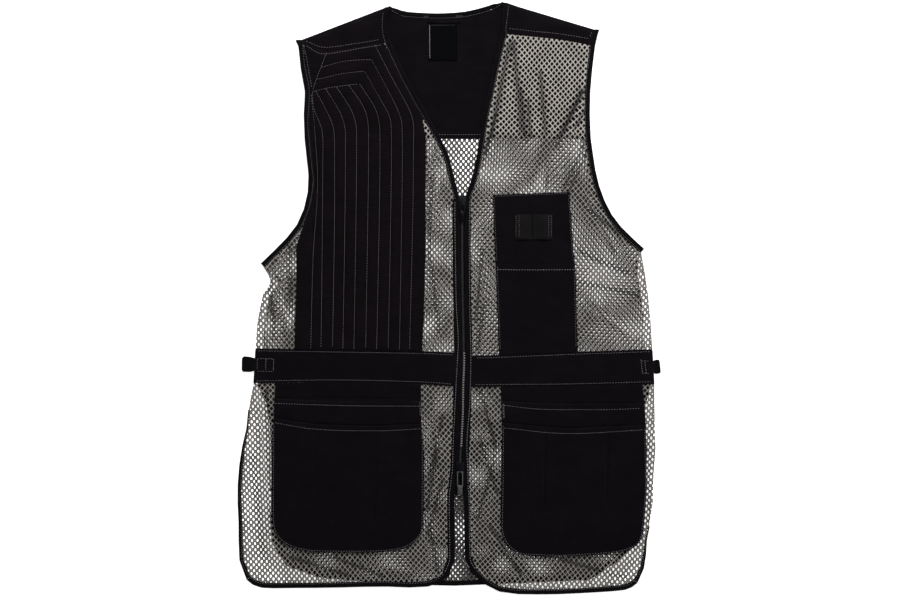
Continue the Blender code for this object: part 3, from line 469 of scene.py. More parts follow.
def diamonds(node, slant, seed):
    """A flat grid of diamonds over a CAD node, at a slant in degrees, that sways as knitting does."""
    low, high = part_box(node)
    middle, size = (low + high) / 2, high - low
    count = int((size.x / EYELET_PITCH + size.y / EYELET_ROWS) / MM) + NET_SPARE
    across, along = EYELET_PITCH * MM / math.sqrt(2), EYELET_ROWS * MM / math.sqrt(2)
    net = bmesh.new()
    bmesh.ops.create_grid(net, x_segments=count, y_segments=count, size=0.5 * count)
    bmesh.ops.rotate(net, verts=net.verts, matrix=Matrix.Rotation(math.radians(45), 3, "Z"))
    bmesh.ops.scale(net, verts=net.verts, vec=(across, along, 1))
    bmesh.ops.rotate(net, verts=net.verts, matrix=Matrix.Rotation(math.radians(slant), 3, "Z"))
    bmesh.ops.translate(net, verts=net.verts, vec=(middle.x, middle.y, 0))
    for v in net.verts:
        sway = Vector()
        for reach, waves in SWAYS:
            sway += reach * noise.noise_vector(Vector((v.co.x * waves, v.co.y * waves, seed)))
        v.co.xy += sway.xy * MM
    return net


def open_eyelets(net, outline, seed):
    """Opens a rounded eyelet in each diamond, smaller where it is near the outline."""
    samples = []
    for spot, away, reach in outline:
        along = Vector((-away.y, away.x))
        samples += [spot + along * reach * step / 2 for step in (-2, -1, 0, 1)]
    edge = KDTree(len(samples))
    for k, spot in enumerate(samples):
        edge.insert(spot.to_3d(), k)
    edge.balance()

    crest = net.verts.layers.float.new("crest")
    bmesh.ops.bisect_edges(net, edges=net.edges, cuts=1)
    eyelets = list(net.faces)
    bmesh.ops.inset_individual(net, faces=eyelets, thickness=EYELET_INSET * MM)
    # Painted shade: below the yoke's foot the threads start darker
    for v in net.verts:
        v[crest] = 1 - BELOW_YOKE_SHADE * stretched(v.co.y)
    for f in eyelets:
        centre = f.calc_center_median()
        place = Vector((centre.x * EYELET_WAVES, centre.y * EYELET_WAVES, seed))
        wide = 1 + EYELET_VARY * noise.noise(place) + STRETCH_OPEN * stretched(centre.y)
        wide *= 1 - EDGE_CLOSE * max(0.0, 1 - edge.find(centre)[2] / (EDGE_REACH * MM))
        for v in f.verts:
            way = (v.co - centre).normalized()
            v.co.x = centre.x + 0.5 * EYELET_WIDE * MM * wide * way.x
            v.co.y = centre.y + 0.5 * EYELET_TALL * MM * wide * way.y
            v[crest] = 0.0
    bmesh.ops.delete(net, geom=eyelets, context="FACES_ONLY")


def trim(net, form, outline):
    """Cuts a net just past the outline, where its binding hides the cut."""
    past = {v: hold(form, v.co)[1] for v in net.verts}
    rim = {f for f in net.faces if max(past[v] for v in f.verts) > 0}
    for spot, away, reach in outline:
        limit = reach + CUT_REACH * MM
        near = [f for f in rim if (f.calc_center_median().xy - spot).length < limit]
        parts = list({part for f in near for part in (f, *f.edges, *f.verts)})
        cut = bmesh.ops.bisect_plane(net, geom=parts, dist=CUT_WELD * MM, plane_no=away.to_3d(),
                                     plane_co=(spot + away * NET_TUCK * MM).to_3d())
        rim.update(part for part in cut["geom"] if isinstance(part, bmesh.types.BMFace))
    outside = [f for f in rim if hold(form, f.calc_center_median())[1] > NET_TUCK * MM]
    bmesh.ops.delete(net, geom=outside, context="FACES")


def knitted_net(node, slant, seed):
    """An open net on the form of a CAD node: diamonds around rounded eyelets, at a slant."""
    form, outline = form_and_outline(node)
    net = diamonds(node, slant, seed)
    past = {v: hold(form, v.co)[1] for v in net.verts}
    outside = [f for f in net.faces if min(past[v] for v in f.verts) > 2 * NET_TUCK * MM]
    bmesh.ops.delete(net, geom=outside, context="FACES")
    open_eyelets(net, outline, seed)
    trim(net, form, outline)
    crest = net.verts.layers.float["crest"]
    for v in net.verts:
        v.co.z = hold(form, v.co)[0] - (NET_STEP + STRAND_DROP * (1 - v[crest])) * MM
    return net


# How bright a strand's sides are, as a share of its crest
SIDE_SHADE = 0.02


def strand_shade(cloth):
    """Darkens a net's threads towards the eyelets, where the strand turns away from the light."""
    tree = cloth.node_tree
    shader = tree.nodes["Principled BSDF"]
    crest = add_node(tree, "Attribute", attribute_name="crest")
    share = add_node(tree, "MapRange", {"From Min": 0.25, "From Max": 1.0, "To Min": SIDE_SHADE})
    join(crest, "Fac", share, "Value")
    dim = add_node(tree, "Mix", {"Factor": 1.0}, data_type="RGBA", blend_type="MULTIPLY")
    tree.links.new(shader.inputs["Base Color"].links[0].from_socket, dim.inputs["A"])
    join(share, "Result", dim, "B")
    join(dim, "Result", shader, "Base Color")


YARN = {"ribs": 0.7, "turn": 90, "relief": 0.7, "sheen": 0.1, "mottle": 60.0}
grey_net = fabric("grey_net", (0.33, 0.306, 0.281), (0.70, 0.647, 0.594), **YARN,
                  roughness=0.6, gloss=0.2)
# The back net and the pouch are the same grey net painted darker as shade, the pouch darkest
shaded_net = fabric("shaded_net", (0.135, 0.125, 0.118), (0.27, 0.252, 0.238), **YARN,
                    roughness=0.65, gloss=0.15)
shaded_pouch_net = fabric("shaded_pouch_net", (0.06, 0.056, 0.054), (0.13, 0.123, 0.118), **YARN,
                   roughness=0.65, gloss=0.12)
for yarn in (grey_net, shaded_net, shaded_pouch_net):
    strand_shade(yarn)

NET_PINCH = 0.5
BACK_GATHERS = ((-150, 190, -110, 60, 14, 0.4), (130, 195, 100, 40, 16, 0.4), (-20, 180, 10, 20, 12, 0.3),
                (-190, -20, -150, -70, 10, 0.4), (190, -10, 150, -66, 10, 0.4), (60, 150, 40, 60, 6, -0.3),
                (-70, 120, -90, 0, 8, -0.3))
POUCH_GATHERS = ((-180, -90, -140, -200, 12, 0.4), (170, -90, 150, -220, 14, 0.4),
                 (-40, -85, -10, -180, 9, 0.35), (60, -84, 40, -150, 8, 0.35),
                 (-100, -280, 0, -320, 12, 0.3))
POUCH_SEAM = ((-236, -78), (-120, -78.6), (0, -78.2), (120, -78.4), (236, -78))
net = knitted_net("game_pouch", slant=4.0, seed=3.0)
crease(net, POUCH_GATHERS, pinch=NET_PINCH)
pouch = piece("pouch_mesh", net, shaded_pouch_net, ["game_pouch"], levels=0)
pouch_seam = sew("pouch_seam", [POUCH_SEAM], [pouch], under=True)
net = knitted_net("back_net", slant=-2.0, seed=1.0)
crease(net, BACK_GATHERS, pinch=NET_PINCH)
back = piece("back_mesh", net, shaded_net, ["back_net"], levels=0)


# The back's bindings: black tape folded over the raw edges of the back net and the yoke, and
# stitched through near its inner edge. Stitches are drawn on the neck binding only.

# The longest edge in a tape's mesh, and how far a tape swells
TAPE_MESH = 4.5
TAPE_SWELL = 0.4
# How soon a lap takes hold where the skin turns to the side
LAP_GAIN = 1.4


def tape_piece(name, node, moves=(), lap=0.0, longest=TAPE_MESH, grow=TAPE_SWELL):
    """Folded tape or webbing. A lap moves its outer edge in x by the given millimetres."""
    cloth = shell_of(node, longest)
    swell(cloth, grow)
    tug(cloth, moves)
    cloth.normal_update()
    for v in cloth.verts:
        if v.normal.x * lap > 0:
            v.co.x += lap * MM * min(1.0, LAP_GAIN * abs(v.normal.x))
    return piece(name, cloth, black_tape, [node])


NECK_CORNERS = ((-72, 371, -5, -1.5, 9), (-65, 361, -4, 0, 6), (64, 377, 5, -2.2, 9))
for edge in ("back_arm_binding_left", "back_arm_binding_right", "back_vent_binding_left",
             "back_vent_binding_right", "back_hem_binding"):
    tape_piece(edge + "_tape", edge)
back_neck = tape_piece("back_neck_binding_tape", "back_neck_binding", NECK_CORNERS)
BACK_NECK_STITCH = ((-73, 365.5), (-68, 362.6), (-58, 358.6), (-31.8, 356.4), (-11.4, 355.9), (14, 357.2),
                    (28, 359.2), (48, 364.6), (62, 370.5), (68, 374))
LOOP_TACKS = (((-32, 356.8), (-24, 356.8)), ((-32, 357.9), (-24, 357.9)),
              ((9, 357.2), (17.5, 357.5)), ((9, 358.3), (17.5, 358.6)))
sew("back_neck_stitches", [BACK_NECK_STITCH], [yoke, back_neck])
sew("loop_tacks", LOOP_TACKS, [loop_tape, yoke, back_neck], pale_thread, stitch=1.2, thread=0.3)


# The net fronts: the same net as the back, one for each side, gathered a little where the
# pockets, the patch and the belt are sewn on, so that soft slanting folds run across it.

FRONT_GATHERS = {
    "left": ((-14, 196, -20, 90, 8, 0.9), (-24, 60, -14, -40, 5, -0.8), (-22, 150, -26, 60, 4, -0.7),
             (-216, 70, -206, -40, 10, 0.9), (-228, 20, -222, -50, 6, -0.8),
             (-204, 66, -200, -20, 5, -0.7), (-20, -125, -14, -210, 6, 0.9),
             (-8, -150, -26, -232, 4, -0.9), (-14, -190, -28, -270, 4, -0.8),
             (-8, -232, -26, -300, 5, -0.7), (-240, -150, -232, -240, 8, 0.8),
             (-232, -118, -229, -300, 4, -0.8), (-250, -200, -236, -330, 7, -0.5),
             (-200, -330, -130, -352, 5, -0.7), (-150, -328, -84, -354, 4, -0.7),
             (-110, -334, -50, -350, 7, 0.7), (-24, -290, -14, -345, 6, -0.6)),
    "right": ((50, 186, 76, 320, 9, -1.0), (42, 165, 60, 235, 4, -1.0), (34, 150, 40, 190, 4, 0.8),
              (82, 324, 92, 212, 8, -0.9), (100, 250, 104, 205, 5, -0.5), (92, 262, 98, 200, 5, -0.7),
              (116, 286, 122, 212, 8, -1.0), (130, 214, 126, 140, 5, 0.9), (170, 262, 146, 212, 6, -1.2),
              (174, 240, 158, 212, 4, -1.0), (146, 138, 172, 200, 4, -1.2),
              (153, 136, 174, 186, 3.5, -1.0), (140, 150, 160, 208, 4, 1.0), (136, 196, 168, 262, 8, -0.5),
              (172, 130, 212, 60, 8, 1.0), (180, 110, 236, 66, 5, -0.8), (168, 60, 226, 30, 7, -0.7),
              (172, -6, 236, -52, 8, 0.8), (168, 20, 240, 2, 5, -0.6), (38, 90, 50, 0, 6, 0.8),
              (42, 60, 34, -30, 4, -0.8), (44, -10, 36, -66, 6, -0.6), (40, -120, 60, -190, 5, -0.8),
              (50, -150, 34, -240, 5, 0.8), (38, -176, 62, -250, 4, -0.8), (60, -196, 36, -282, 4, -0.7),
              (38, -250, 60, -330, 6, 0.8), (52, -290, 90, -350, 5, -0.7), (90, -334, 150, -352, 6, 0.7),
              (140, -332, 224, -356, 5, -0.7), (254, -180, 253, -290, 4, -0.6)),
}
# Each front's flat size and area in metres, the slant of its net in degrees and its seed
FRONT_CUTS = {"left": ((0.273, 0.686), 0.1476, 2.8, 9.0), "right": ((0.238, 0.705), 0.1343, -4.4, 10.0)}
for side, (flat_size, flat_area, slant, seed) in FRONT_CUTS.items():
    net = knitted_net(f"front_net_{side}", slant, seed)
    crease(net, FRONT_GATHERS[side], pinch=NET_PINCH)
    piece(f"{side}_front_mesh", net, grey_net, [f"front_net_{side}"], levels=0)


# The shoulders: two short twill pieces that fold over the top from the yoke and are topstitched
# along the seams with the quilted patch and the right net.

SHOULDER_LINES = {
    "left": (((-181.6, 326.6), (-163.4, 318.6), (-142.2, 319.2), (-125.7, 322), (-113, 323.7),
              (-88, 328)),),
    "right": (((76, 342), (107, 338.6), (138.8, 335.4), (177.7, 329.2)),
              ((178.9, 331.5), (181.5, 338))),
}
SHOULDER_TIPS = {"left": ((-85, 367.6, 9, 3.4, 9),), "right": ((78, 373.2, -6, 2.4, 8),)}
for side, lines in SHOULDER_LINES.items():
    cloth = shell_of(f"shoulder_{side}", 4)
    swell(cloth, 0.7, level=True)
    tug(cloth, SHOULDER_TIPS[side])
    shoulder = piece(f"{side}_shoulder_twill", cloth, black_twill, [f"shoulder_{side}"])
    stitches = sew(f"{side}_shoulder_stitches", lines, [shoulder])


# The quilted shooting patch: twill over thin padding, stitched in lines that run below the
# shoulder seam, turn at a knee and fall to the belt. The padding stands up between the lines.

# The patch's height along its stitches, the padding's rise between them, how much of that rise
# is left when it is rounded, and how deep its puckers are
PATCH_BASE = 1.6
QUILT = 2.2
PUFF = 0.92
PUCKER = 0.42
# Their waves a metre in x and y, their seed, and how they fade towards the crest
PUCKER_WAVES = (90, 190)
PUCKER_SEED = 2.0
PUCKER_FADE = 1.2
# Skin that rises by less than this share of the padding stays as it is
FLAT_SHARE = 0.001
QUILT_SEAM = ((-181, 320), (-163.4, 310), (-142.2, 311), (-112, 316.5), (-84, 321))
QUILT_LINES = (
    QUILT_SEAM,
    ((-155.2, 311.6), (-162.6, 292.3), (-168.4, 276.9), (-173.3, 261.6)),
    ((-173.3, 261.6), (-155.3, 266), (-140.7, 268.2), (-127, 270), (-113.7, 271.8)),
    ((-168.4, 276.9), (-136.3, 284.3), (-107.2, 287.8)),
    ((-162.6, 292.3), (-132.1, 300.3), (-98.4, 302.5)),
    ((-182.4, 314), (-179.2, 295), (-173.8, 265)),
    ((-174.6, 258), (-171.5, 226), (-169.5, 200), (-166.8, 160), (-167.5, 120), (-172, 60), (-174, 0),
     (-175.4, -65)),
    ((-173.3, 261.6), (-171.6, 240), (-164.1, 222.3), (-160.2, 205), (-160.2, 160), (-161, 50),
     (-162.4, -65)),
    ((-169.2, 262.7), (-153.7, 234), (-146.5, 215), (-145.3, 195), (-145.3, 100), (-147.8, -65)),
    ((-156.7, 265.7), (-139.2, 237.3), (-132, 216), (-131.4, 195), (-132, 100), (-134.7, -65)),
    ((-142.9, 267.9), (-124.7, 239.8), (-118, 219), (-117.2, 195), (-118, 100), (-120.7, -66)),
    ((-127, 270), (-108.6, 242.4), (-102.8, 222), (-102, 195), (-103, 100), (-105.7, -66)),
    ((-113.7, 271.8), (-95.5, 244.2), (-89.2, 226), (-87.5, 200), (-88.5, 100), (-91.8, -66)),
    ((-107.2, 287.8), (-88.3, 254.3), (-75.8, 230.5), (-73, 205), (-74, 100), (-77.2, -66)),
    ((-98.4, 302.5), (-74.9, 258.9), (-62.2, 230.9), (-59.3, 205), (-60, 100), (-62.9, -66)),
    ((-94, 321), (-73.7, 281.7), (-52.1, 242.4), (-45.4, 222), (-45, 195), (-46, 100), (-50, -67)),
)
puckered_twill = fabric("puckered_twill", (0.0018, 0.0011, 0.0016), (0.0056, 0.0038, 0.0054),
                        **TWILL, ripple=(60, 230, 1.6))


def puff_up(cloth):
    """Rounds the padding between the quilting lines, which the CAD shows as straight slopes."""
    skin = BVHTree.FromBMesh(cloth)
    for v in cloth.verts:
        below = surface(skin, v.co, side=-1)
        share = (v.co.z - below.z - PATCH_BASE * MM) / (QUILT * MM) if below else -1
        if share > FLAT_SHARE:
            share = min(share, 1.0)
            rise = PATCH_BASE + QUILT * PUFF * math.sqrt(1 - (1 - share) ** 2)
            place = Vector((v.co.x * PUCKER_WAVES[0], v.co.y * PUCKER_WAVES[1], PUCKER_SEED))
            pucker = PUCKER * MM * noise.noise(place) * (PUCKER_FADE - share)
            v.co.z = below.z + rise * MM + pucker


cloth = shell_of("shooting_patch", 3.6)
puff_up(cloth)
swell(cloth, 0.9, level=True)
patch = piece("quilted_patch", cloth, puckered_twill, ["shooting_patch"], levels=0)
sew("patch_stitches", QUILT_LINES, [patch])


# The chest pocket: a twill board with a patch pocket on its lower half and, above it, two
# loops of elastic that hold shells upright.

chest_board = panel("chest_board_twill", "chest_board", 12, grow=0.6)
chest_pocket = panel("chest_pocket_twill", "chest_pocket", 10, grow=0.6)
BOARD_LINES = (((57.3, 128), (58.8, 88), (61, 44)), ((151.6, 131), (156, 63), (158.6, 44)),
               ((58, 129), (151, 132.6)))
CHEST_MOUTH = ((60.5, 35.8), (110, 35.4), (159.8, 35.8))
CHEST_POCKET_SIDES = (((61.2, 40), (65, -66)), ((158.9, 40), (161.2, -64)))
board_stitches = sew("board_stitches", BOARD_LINES, [chest_board], thread=0.26)
mouth_stitches = sew("chest_mouth_stitches", [CHEST_MOUTH], [chest_pocket], pale_thread)
chest_stitches = sew("chest_stitches", CHEST_POCKET_SIDES, [chest_pocket], thread=0.3)

elastic = fabric("ribbed_elastic", (0.0022, 0.0019, 0.0020), (0.0100, 0.0088, 0.0092),
                 ribs=1.6, turn=0, relief=1.0, roughness=0.7, gloss=0.06, sheen=0.03)
# Each shell loop's flat width in metres, and where its two lines of tacks stand
SHELL_LOOPS = {"left": (0.021, (84.9, 88.8)), "right": (0.026, (126.4, 129.8))}
for side, (width, tack_lines) in SHELL_LOOPS.items():
    loop = panel(f"{side}_shell_loop_elastic", f"shell_loop_{side}", 3, elastic,
                 grow=0.1, level=False)
    tacks = sew(f"{side}_shell_loop_tacks", [((x, 104.8), (x, 75.2)) for x in tack_lines],
                [loop, chest_board], stitch=1.8, thread=0.26)


# The lower pockets: a backing, an inner panel and an outer panel on each side, all of twill.
# The outer panel is fuller than the rest, and two pleats under its mouth let it open.

POCKET_STITCHES = {
    "left": {
        "inner": (((-221, -133.9), (-128, -136.8), (-35.6, -137.4)), ((-35.8, -130), (-35.4, -150)),
                  ((-37, -130), (-36.8, -150))),
        "outer": (((-221, -158.3), (-167.6, -166.6), (-89.3, -168.5), (-34.3, -165.9)),
                  ((-222.2, -162), (-222.6, -258), (-221.8, -288), (-217.6, -300), (-211.3, -307.5),
                   (-202, -313.4), (-187.6, -318), (-163.6, -320.8), (-99.6, -321), (-67.8, -318.4),
                   (-51.4, -313.4), (-44.8, -308.6), (-38.6, -302), (-34.6, -290.6), (-34, -258),
                   (-34, -181), (-35.4, -164))),
        "sizes": ((0.193, 0.2165), 0.0401, (0.1935, 0.196), 0.0358, (0.1935, 0.171), 0.0304),
    },
    "right": {
        "inner": (((69.3, -136.3), (113.9, -141.2), (166.4, -141.8), (205.7, -141.8), (245.7, -139.9)),
                  ((68.4, -134), (68.8, -154)), ((69.6, -134), (70, -154))),
        "outer": (((69.3, -164.9), (149.5, -172), (247.7, -167.3)),
                  ((248.4, -166), (249, -218), (249.2, -240), (247.2, -270), (244.6, -296), (241.8, -307),
                   (236.8, -313), (225.2, -318.4), (206, -322.6), (167.6, -325.2), (141, -326.4),
                   (95.4, -324.5), (83.7, -319.9), (77.4, -314.8), (72.8, -309), (68.9, -299.6),
                   (67.7, -284.5), (68.8, -218), (68.8, -162))),
        "sizes": ((0.1855, 0.219), 0.0386, (0.1855, 0.198), 0.0347, (0.1855, 0.170), 0.0293),
    },
}
PLEATS = {
    "left": ((-167.6, -172.9, -167.6, -259.3, 1.8, -1.5), (-89.5, -172.9, -94.6, -283.4, 2.1, -2.4)),
    "right": ((122.8, -176.7, 119.4, -269.4, 2.1, -2.2), (201.2, -173.8, 199.4, -259.3, 2.0, -2.0)),
}
# The shadow under each mouth's edge, first on the backing, then on the inner panel
MOUTH_DIPS = {
    "left": (((-220, -127.6, -36, -128.6, 2.2, -1.2),),
             ((-220, -152.5, -167.6, -160.5, 2.2, -1.2), (-167.6, -160.5, -89.3, -162.6, 2.2, -1.2),
              (-89.3, -162.6, -36, -160.0, 2.2, -1.2))),
    "right": (((69, -130.6, 113.9, -134.6, 2.2, -1.2), (113.9, -134.6, 246, -133.6, 2.2, -1.2)),
              ((69.3, -158.6, 149.5, -165.6, 2.2, -1.2), (149.5, -165.6, 246, -161, 2.2, -1.2))),
}
POCKET_CREASES = {
    "left": ((-205, -210, -150, -285, 16, 0.35), (-120, -230, -60, -300, 18, 0.3),
             (-70, -190, -50, -240, 12, 0.3), (-164.6, -173, -164.6, -250, 3, 0.5),
             (-86, -173, -91, -275, 3, 0.6), (-220, -161, -36, -164, 4, 0.5)),
    "right": ((90, -205, 130, -290, 16, 0.35), (170, -220, 225, -300, 20, 0.3),
              (225, -190, 236, -250, 10, 0.3), (119.6, -177, 116, -262, 3, 0.6),
              (198, -174, 196, -252, 3, 0.5), (70, -163, 246, -165, 4, 0.5)),
}
for side, seams in POCKET_STITCHES.items():
    mouth_on_backing, mouth_on_inner = MOUTH_DIPS[side]
    backing = panel(f"{side}_pocket_backing_twill", f"pocket_backing_{side}", 14,
                    cuts=mouth_on_backing, folds=mouth_on_backing, grow=0.5)
    inner = panel(f"{side}_pocket_inner_twill", f"pocket_inner_{side}", 14,
                  cuts=mouth_on_inner, folds=mouth_on_inner)
    outer = panel(f"{side}_pocket_outer_twill", f"pocket_outer_{side}", 6.5,
                  cuts=PLEATS[side], folds=POCKET_CREASES[side] + PLEATS[side])
    inner_stitches = sew(f"{side}_pocket_inner_stitches", seams["inner"][:1], [inner])
    inner_tacks = sew(f"{side}_pocket_inner_tacks", seams["inner"][1:], [inner], pale_thread,
                      stitch=1.0, thread=0.4)
    outer_stitches = sew(f"{side}_pocket_outer_stitches", seams["outer"], [outer])


# The belt and its side loops: a doubled band of twill around the waist, topstitched at both
# edges, with a folded loop of webbing boxed to each end.

BELT_LINES = {
    "left": (((-243, -67.2), (-138.4, -68.8), (-36.8, -70.6), (6, -72.4)),
             ((-245, -105.4), (-138.4, -104.2), (-41.9, -106.4), (5, -109.4))),
    "right": (((255.5, -68.3), (163.8, -71.4), (64.8, -75.4), (33.6, -76.3)),
              ((257.4, -106.4), (153.7, -109.2), (90, -109.7), (32.8, -110.1))),
}
BELT_CREASES = {
    "left": ((-200, -70, -196, -104, 8, 0.3), (-121, -72, -126, -103, 9, -0.25),
             (-60, -73, -56, -104, 8, 0.3)),
    "right": ((70, -78, 74, -108, 8, 0.3), (132, -76, 128, -106, 9, -0.25), (205, -74, 209, -104, 9, 0.3)),
}
LOOP_BOXES = {
    "left": (((-243.5, -77), (-222.5, -77.5)), ((-243.8, -93), (-222.8, -93.5)),
             ((-243.4, -77), (-243.8, -93))),
    "right": (((243.5, -80), (256.5, -80.5)), ((244, -95.6), (257, -96))),
}
LOOP_BARS = {
    "left": (((-232.4, -77), (-232.6, -93)), ((-222.5, -77.5), (-222.8, -93.5))),
    "right": (((243.5, -78), (245.6, -96)), ((248.3, -79), (250.6, -97))),
}
BELT_ENDS = {"left": ((7.5, -91, 1.2, 0, 44), (-246, -87, -1.0, 0, 40)),
             "right": ((30.6, -93, -2.0, 0, 42), (258, -88, 0.8, 0, 40))}
LOOP_WAISTS = {"left": ((-248, -75.8, 3, -1.6, 5), (-248, -94.2, 3, 1.6, 5), (-247, -85, 3, 0, 6)),
               "right": ((259.4, -79.2, -1, -1.8, 2.3), (260, -97.2, -1, 2.6, 2.3))}
# Each belt's flat size and area in metres
BELT_CUTS = {"left": ((0.256, 0.048), 0.0105), "right": ((0.23, 0.047), 0.0095)}
for side, (flat_size, flat_area) in BELT_CUTS.items():
    belt = panel(f"{side}_belt_twill", f"belt_{side}", 5, folds=BELT_CREASES[side],
                 moves=BELT_ENDS[side], grow=0.7)
    stitches = sew(f"{side}_belt_stitches", BELT_LINES[side] + LOOP_BOXES[side], [belt])
    tacks = sew(f"{side}_belt_tacks", LOOP_BARS[side], [belt], pale_thread, stitch=1.2, thread=0.4)
    tape_piece(f"{side}_loop_webbing", f"side_loop_{side}", LOOP_WAISTS[side], longest=2.5, grow=0.5)


# The fronts' bindings: black tape folded over the armholes, vents, hems, front edges and neck,
# stitched through near its inner edge all the way round.

EDGES = {
    "left": {
        "arm_binding": ((-184.5, 322), (-181.7, 295), (-175.8, 262), (-177.6, 226), (-176.3, 202.4),
                        (-172.1, 163), (-170.9, 148), (-173.1, 129), (-178.2, 109), (-187.8, 88),
                        (-203.6, 68.6), (-234.4, 38.5)),
        "vent_binding": ((-253.8, -142.4), (-255.3, -166), (-259.6, -193), (-264.1, -245), (-262.7, -284),
                         (-262.1, -328), (-259.4, -342), (-252.5, -354.5)),
        "hem_binding": ((-252.5, -354.5), (-243, -360.3), (-232, -362.3), (-213.4, -362.2),
                        (-161.5, -361.6), (-86.6, -359.6), (-54.2, -360.8), (-32, -360.2), (-17.9, -357),
                        (-6, -348)),
        "front_binding": ((-6, -348), (-0.8, -336), (0.2, -325), (-0.4, -258), (1, -240), (3.8, -215),
                          (4.8, -180.5), (8.4, -108.1), (10.3, -75.1), (11, -49.7), (8.4, -4), (7.1, 73.5),
                          (6.6, 125)),
        "neck_binding": ((6.6, 125), (0.9, 145), (-3.9, 169.5), (-13.6, 193.7), (-25, 214), (-34.3, 230),
                         (-56, 268), (-79.5, 317), (-82, 323.5), (-85.3, 334.6), (-86.2, 350),
                         (-84.5, 367.4)),
    },
    "right": {
        "arm_binding": ((178.5, 320.8), (176, 300), (172.8, 272), (171.8, 226), (173, 202.4),
                        (176.5, 177.6), (180.8, 152.2), (187.7, 129.3), (197.9, 106.5), (212, 87),
                        (226.1, 72.8), (243.2, 57)),
        "vent_binding": ((253.5, -290), (249.8, -304), (245.5, -333), (240.5, -350), (235, -358.5)),
        "hem_binding": ((235, -358.5), (228, -362.5), (219, -365.2), (167.4, -368.6), (141, -369.9),
                        (92.2, -369.9), (75, -368.2), (60, -364.5), (50.3, -358.6), (42, -351),
                        (34, -343.5)),
        "front_binding": ((34, -343.5), (28.5, -335), (27, -320), (26.2, -258), (25, -240), (24.2, -215),
                          (23.6, -180.5), (27.2, -129.7), (28.4, -68.8), (27.2, -16.7), (26.5, 73.5),
                          (27, 125)),
        "neck_binding": ((27, 125), (34, 143), (39.9, 167.4), (44.7, 194), (51, 233), (57.5, 262),
                         (64.9, 298), (74, 334.6), (73.6, 341), (75.2, 355), (77.5, 373)),
    },
}
# Which way a front's stitches lie from the lines of its edges: to their right (1) or left (-1)
TAPE_SIDE = {"left": 1, "right": -1}
# How far the stitches lie inside an edge, and their half width, all round and beside the zip
EDGE_STITCH, EDGE_THREAD = 1.5, 0.3
ZIP_SIDE_STITCH, ZIP_SIDE_THREAD = 0.7, 0.4
# How far the outer edge of each tape beside the zip is moved in x
ZIP_SIDE_LAPS = {"left": -2.4, "right": 0.9}


def beside(points, distance):
    """A line beside another one, the given millimetres to its right."""
    row = [Vector(p) for p in points]
    moved = []
    for k, p in enumerate(row):
        way = (row[min(k + 1, len(row) - 1)] - row[max(k - 1, 0)]).normalized()
        moved.append((p.x + way.y * distance, p.y - way.x * distance))
    return moved


TAPE_CORNERS = ((-81, 367, 3, 2.5, 9), (73, 373, -2, 2, 8), (-192, 326, -2, 2, 5), (189, 340, 1, 1.5, 5))
for side, edges in EDGES.items():
    for edge, line in edges.items():
        by_zip = edge == "front_binding"
        lap = ZIP_SIDE_LAPS[side] if by_zip else 0.0
        tape = tape_piece(f"{side}_{edge}_tape", f"{edge}_{side}", TAPE_CORNERS, lap)
        inside = (ZIP_SIDE_STITCH if by_zip else EDGE_STITCH) * TAPE_SIDE[side]
        sew(f"{side}_{edge}_stitches", [beside(line, inside)], [tape],
            pale_thread if by_zip else grey_thread, thread=ZIP_SIDE_THREAD if by_zip else EDGE_THREAD)


# The zip: two black tapes and a closed row of dark metal teeth, which a slider at each end opens.
# From the belt down to the lower slider, the teeth of the right tape carry a painted highlight.

ZIP_LINE = ((16.8, 125), (16.8, 60), (17.5, -3), (18.8, -75), (17.6, -112), (17.2, -145), (14.8, -195),
            (14, -215))
# A tooth's size across, along and up the zip, and how far it stands to its own tape's side
TOOTH = (2.3, 1.3, 1.9)
TOOTH_ASIDE = 0.6
TOOTH_EDGE = 0.35
# The pitch of one tape's teeth, and between which heights on the vest they carry a painted highlight
TOOTH_PITCH = 3.1
HIGHLIGHT_SPAN = (-190, -68)


def metal(name, dark, light, roughness, wear):
    """Painted or plated metal, brighter where it is rubbed, with fine scratches."""
    plate, tree, shader = new_finish(name)
    set_inputs(shader, {"Metallic": 0.85, "Specular IOR Level": 0.2})
    place = add_node(tree, "TexCoord")
    grain = add_node(tree, "TexNoise", {"Scale": 2200.0, "Detail": 4.0})
    join(place, "Object", grain, "Vector")
    colour = add_node(tree, "Mix", {"A": (*dark, 1), "B": (*light, 1)}, data_type="RGBA")
    rubbed = add_node(tree, "MapRange", {"From Min": 0.5 - wear, "From Max": 0.8})
    join(grain, "Fac", rubbed, "Value")
    join(rubbed, "Result", colour, "Factor")
    join(colour, "Result", shader, "Base Color")
    rough = add_node(tree, "MapRange", {"To Min": roughness - 0.1, "To Max": roughness + 0.12})
    join(grain, "Fac", rough, "Value")
    join(rough, "Result", shader, "Roughness")
    bump = add_node(tree, "Bump", {"Strength": 0.15, "Distance": 0.05 * MM})
    join(grain, "Fac", bump, "Height")
    join(bump, "Normal", shader, "Normal")
    return plate


dark_nickel = metal("dark_nickel", (0.03, 0.03, 0.03), (0.16, 0.16, 0.16), roughness=0.4, wear=0.12)
highlight_nickel = metal("highlight_nickel", (0.40, 0.40, 0.40), (0.95, 0.94, 0.93), roughness=0.3, wear=0.2)
black_metal = metal("black_metal", (0.004, 0.004, 0.006), (0.016, 0.016, 0.021),
                    roughness=0.4, wear=0.02)
pale_metal = metal("pale_metal", (0.05, 0.05, 0.052), (0.28, 0.28, 0.28), roughness=0.34, wear=0.08)

for side in ("left", "right"):
    panel(f"{side}_zip_tape_weave", f"zip_tape_{side}", 5, black_tape, grow=1.2)

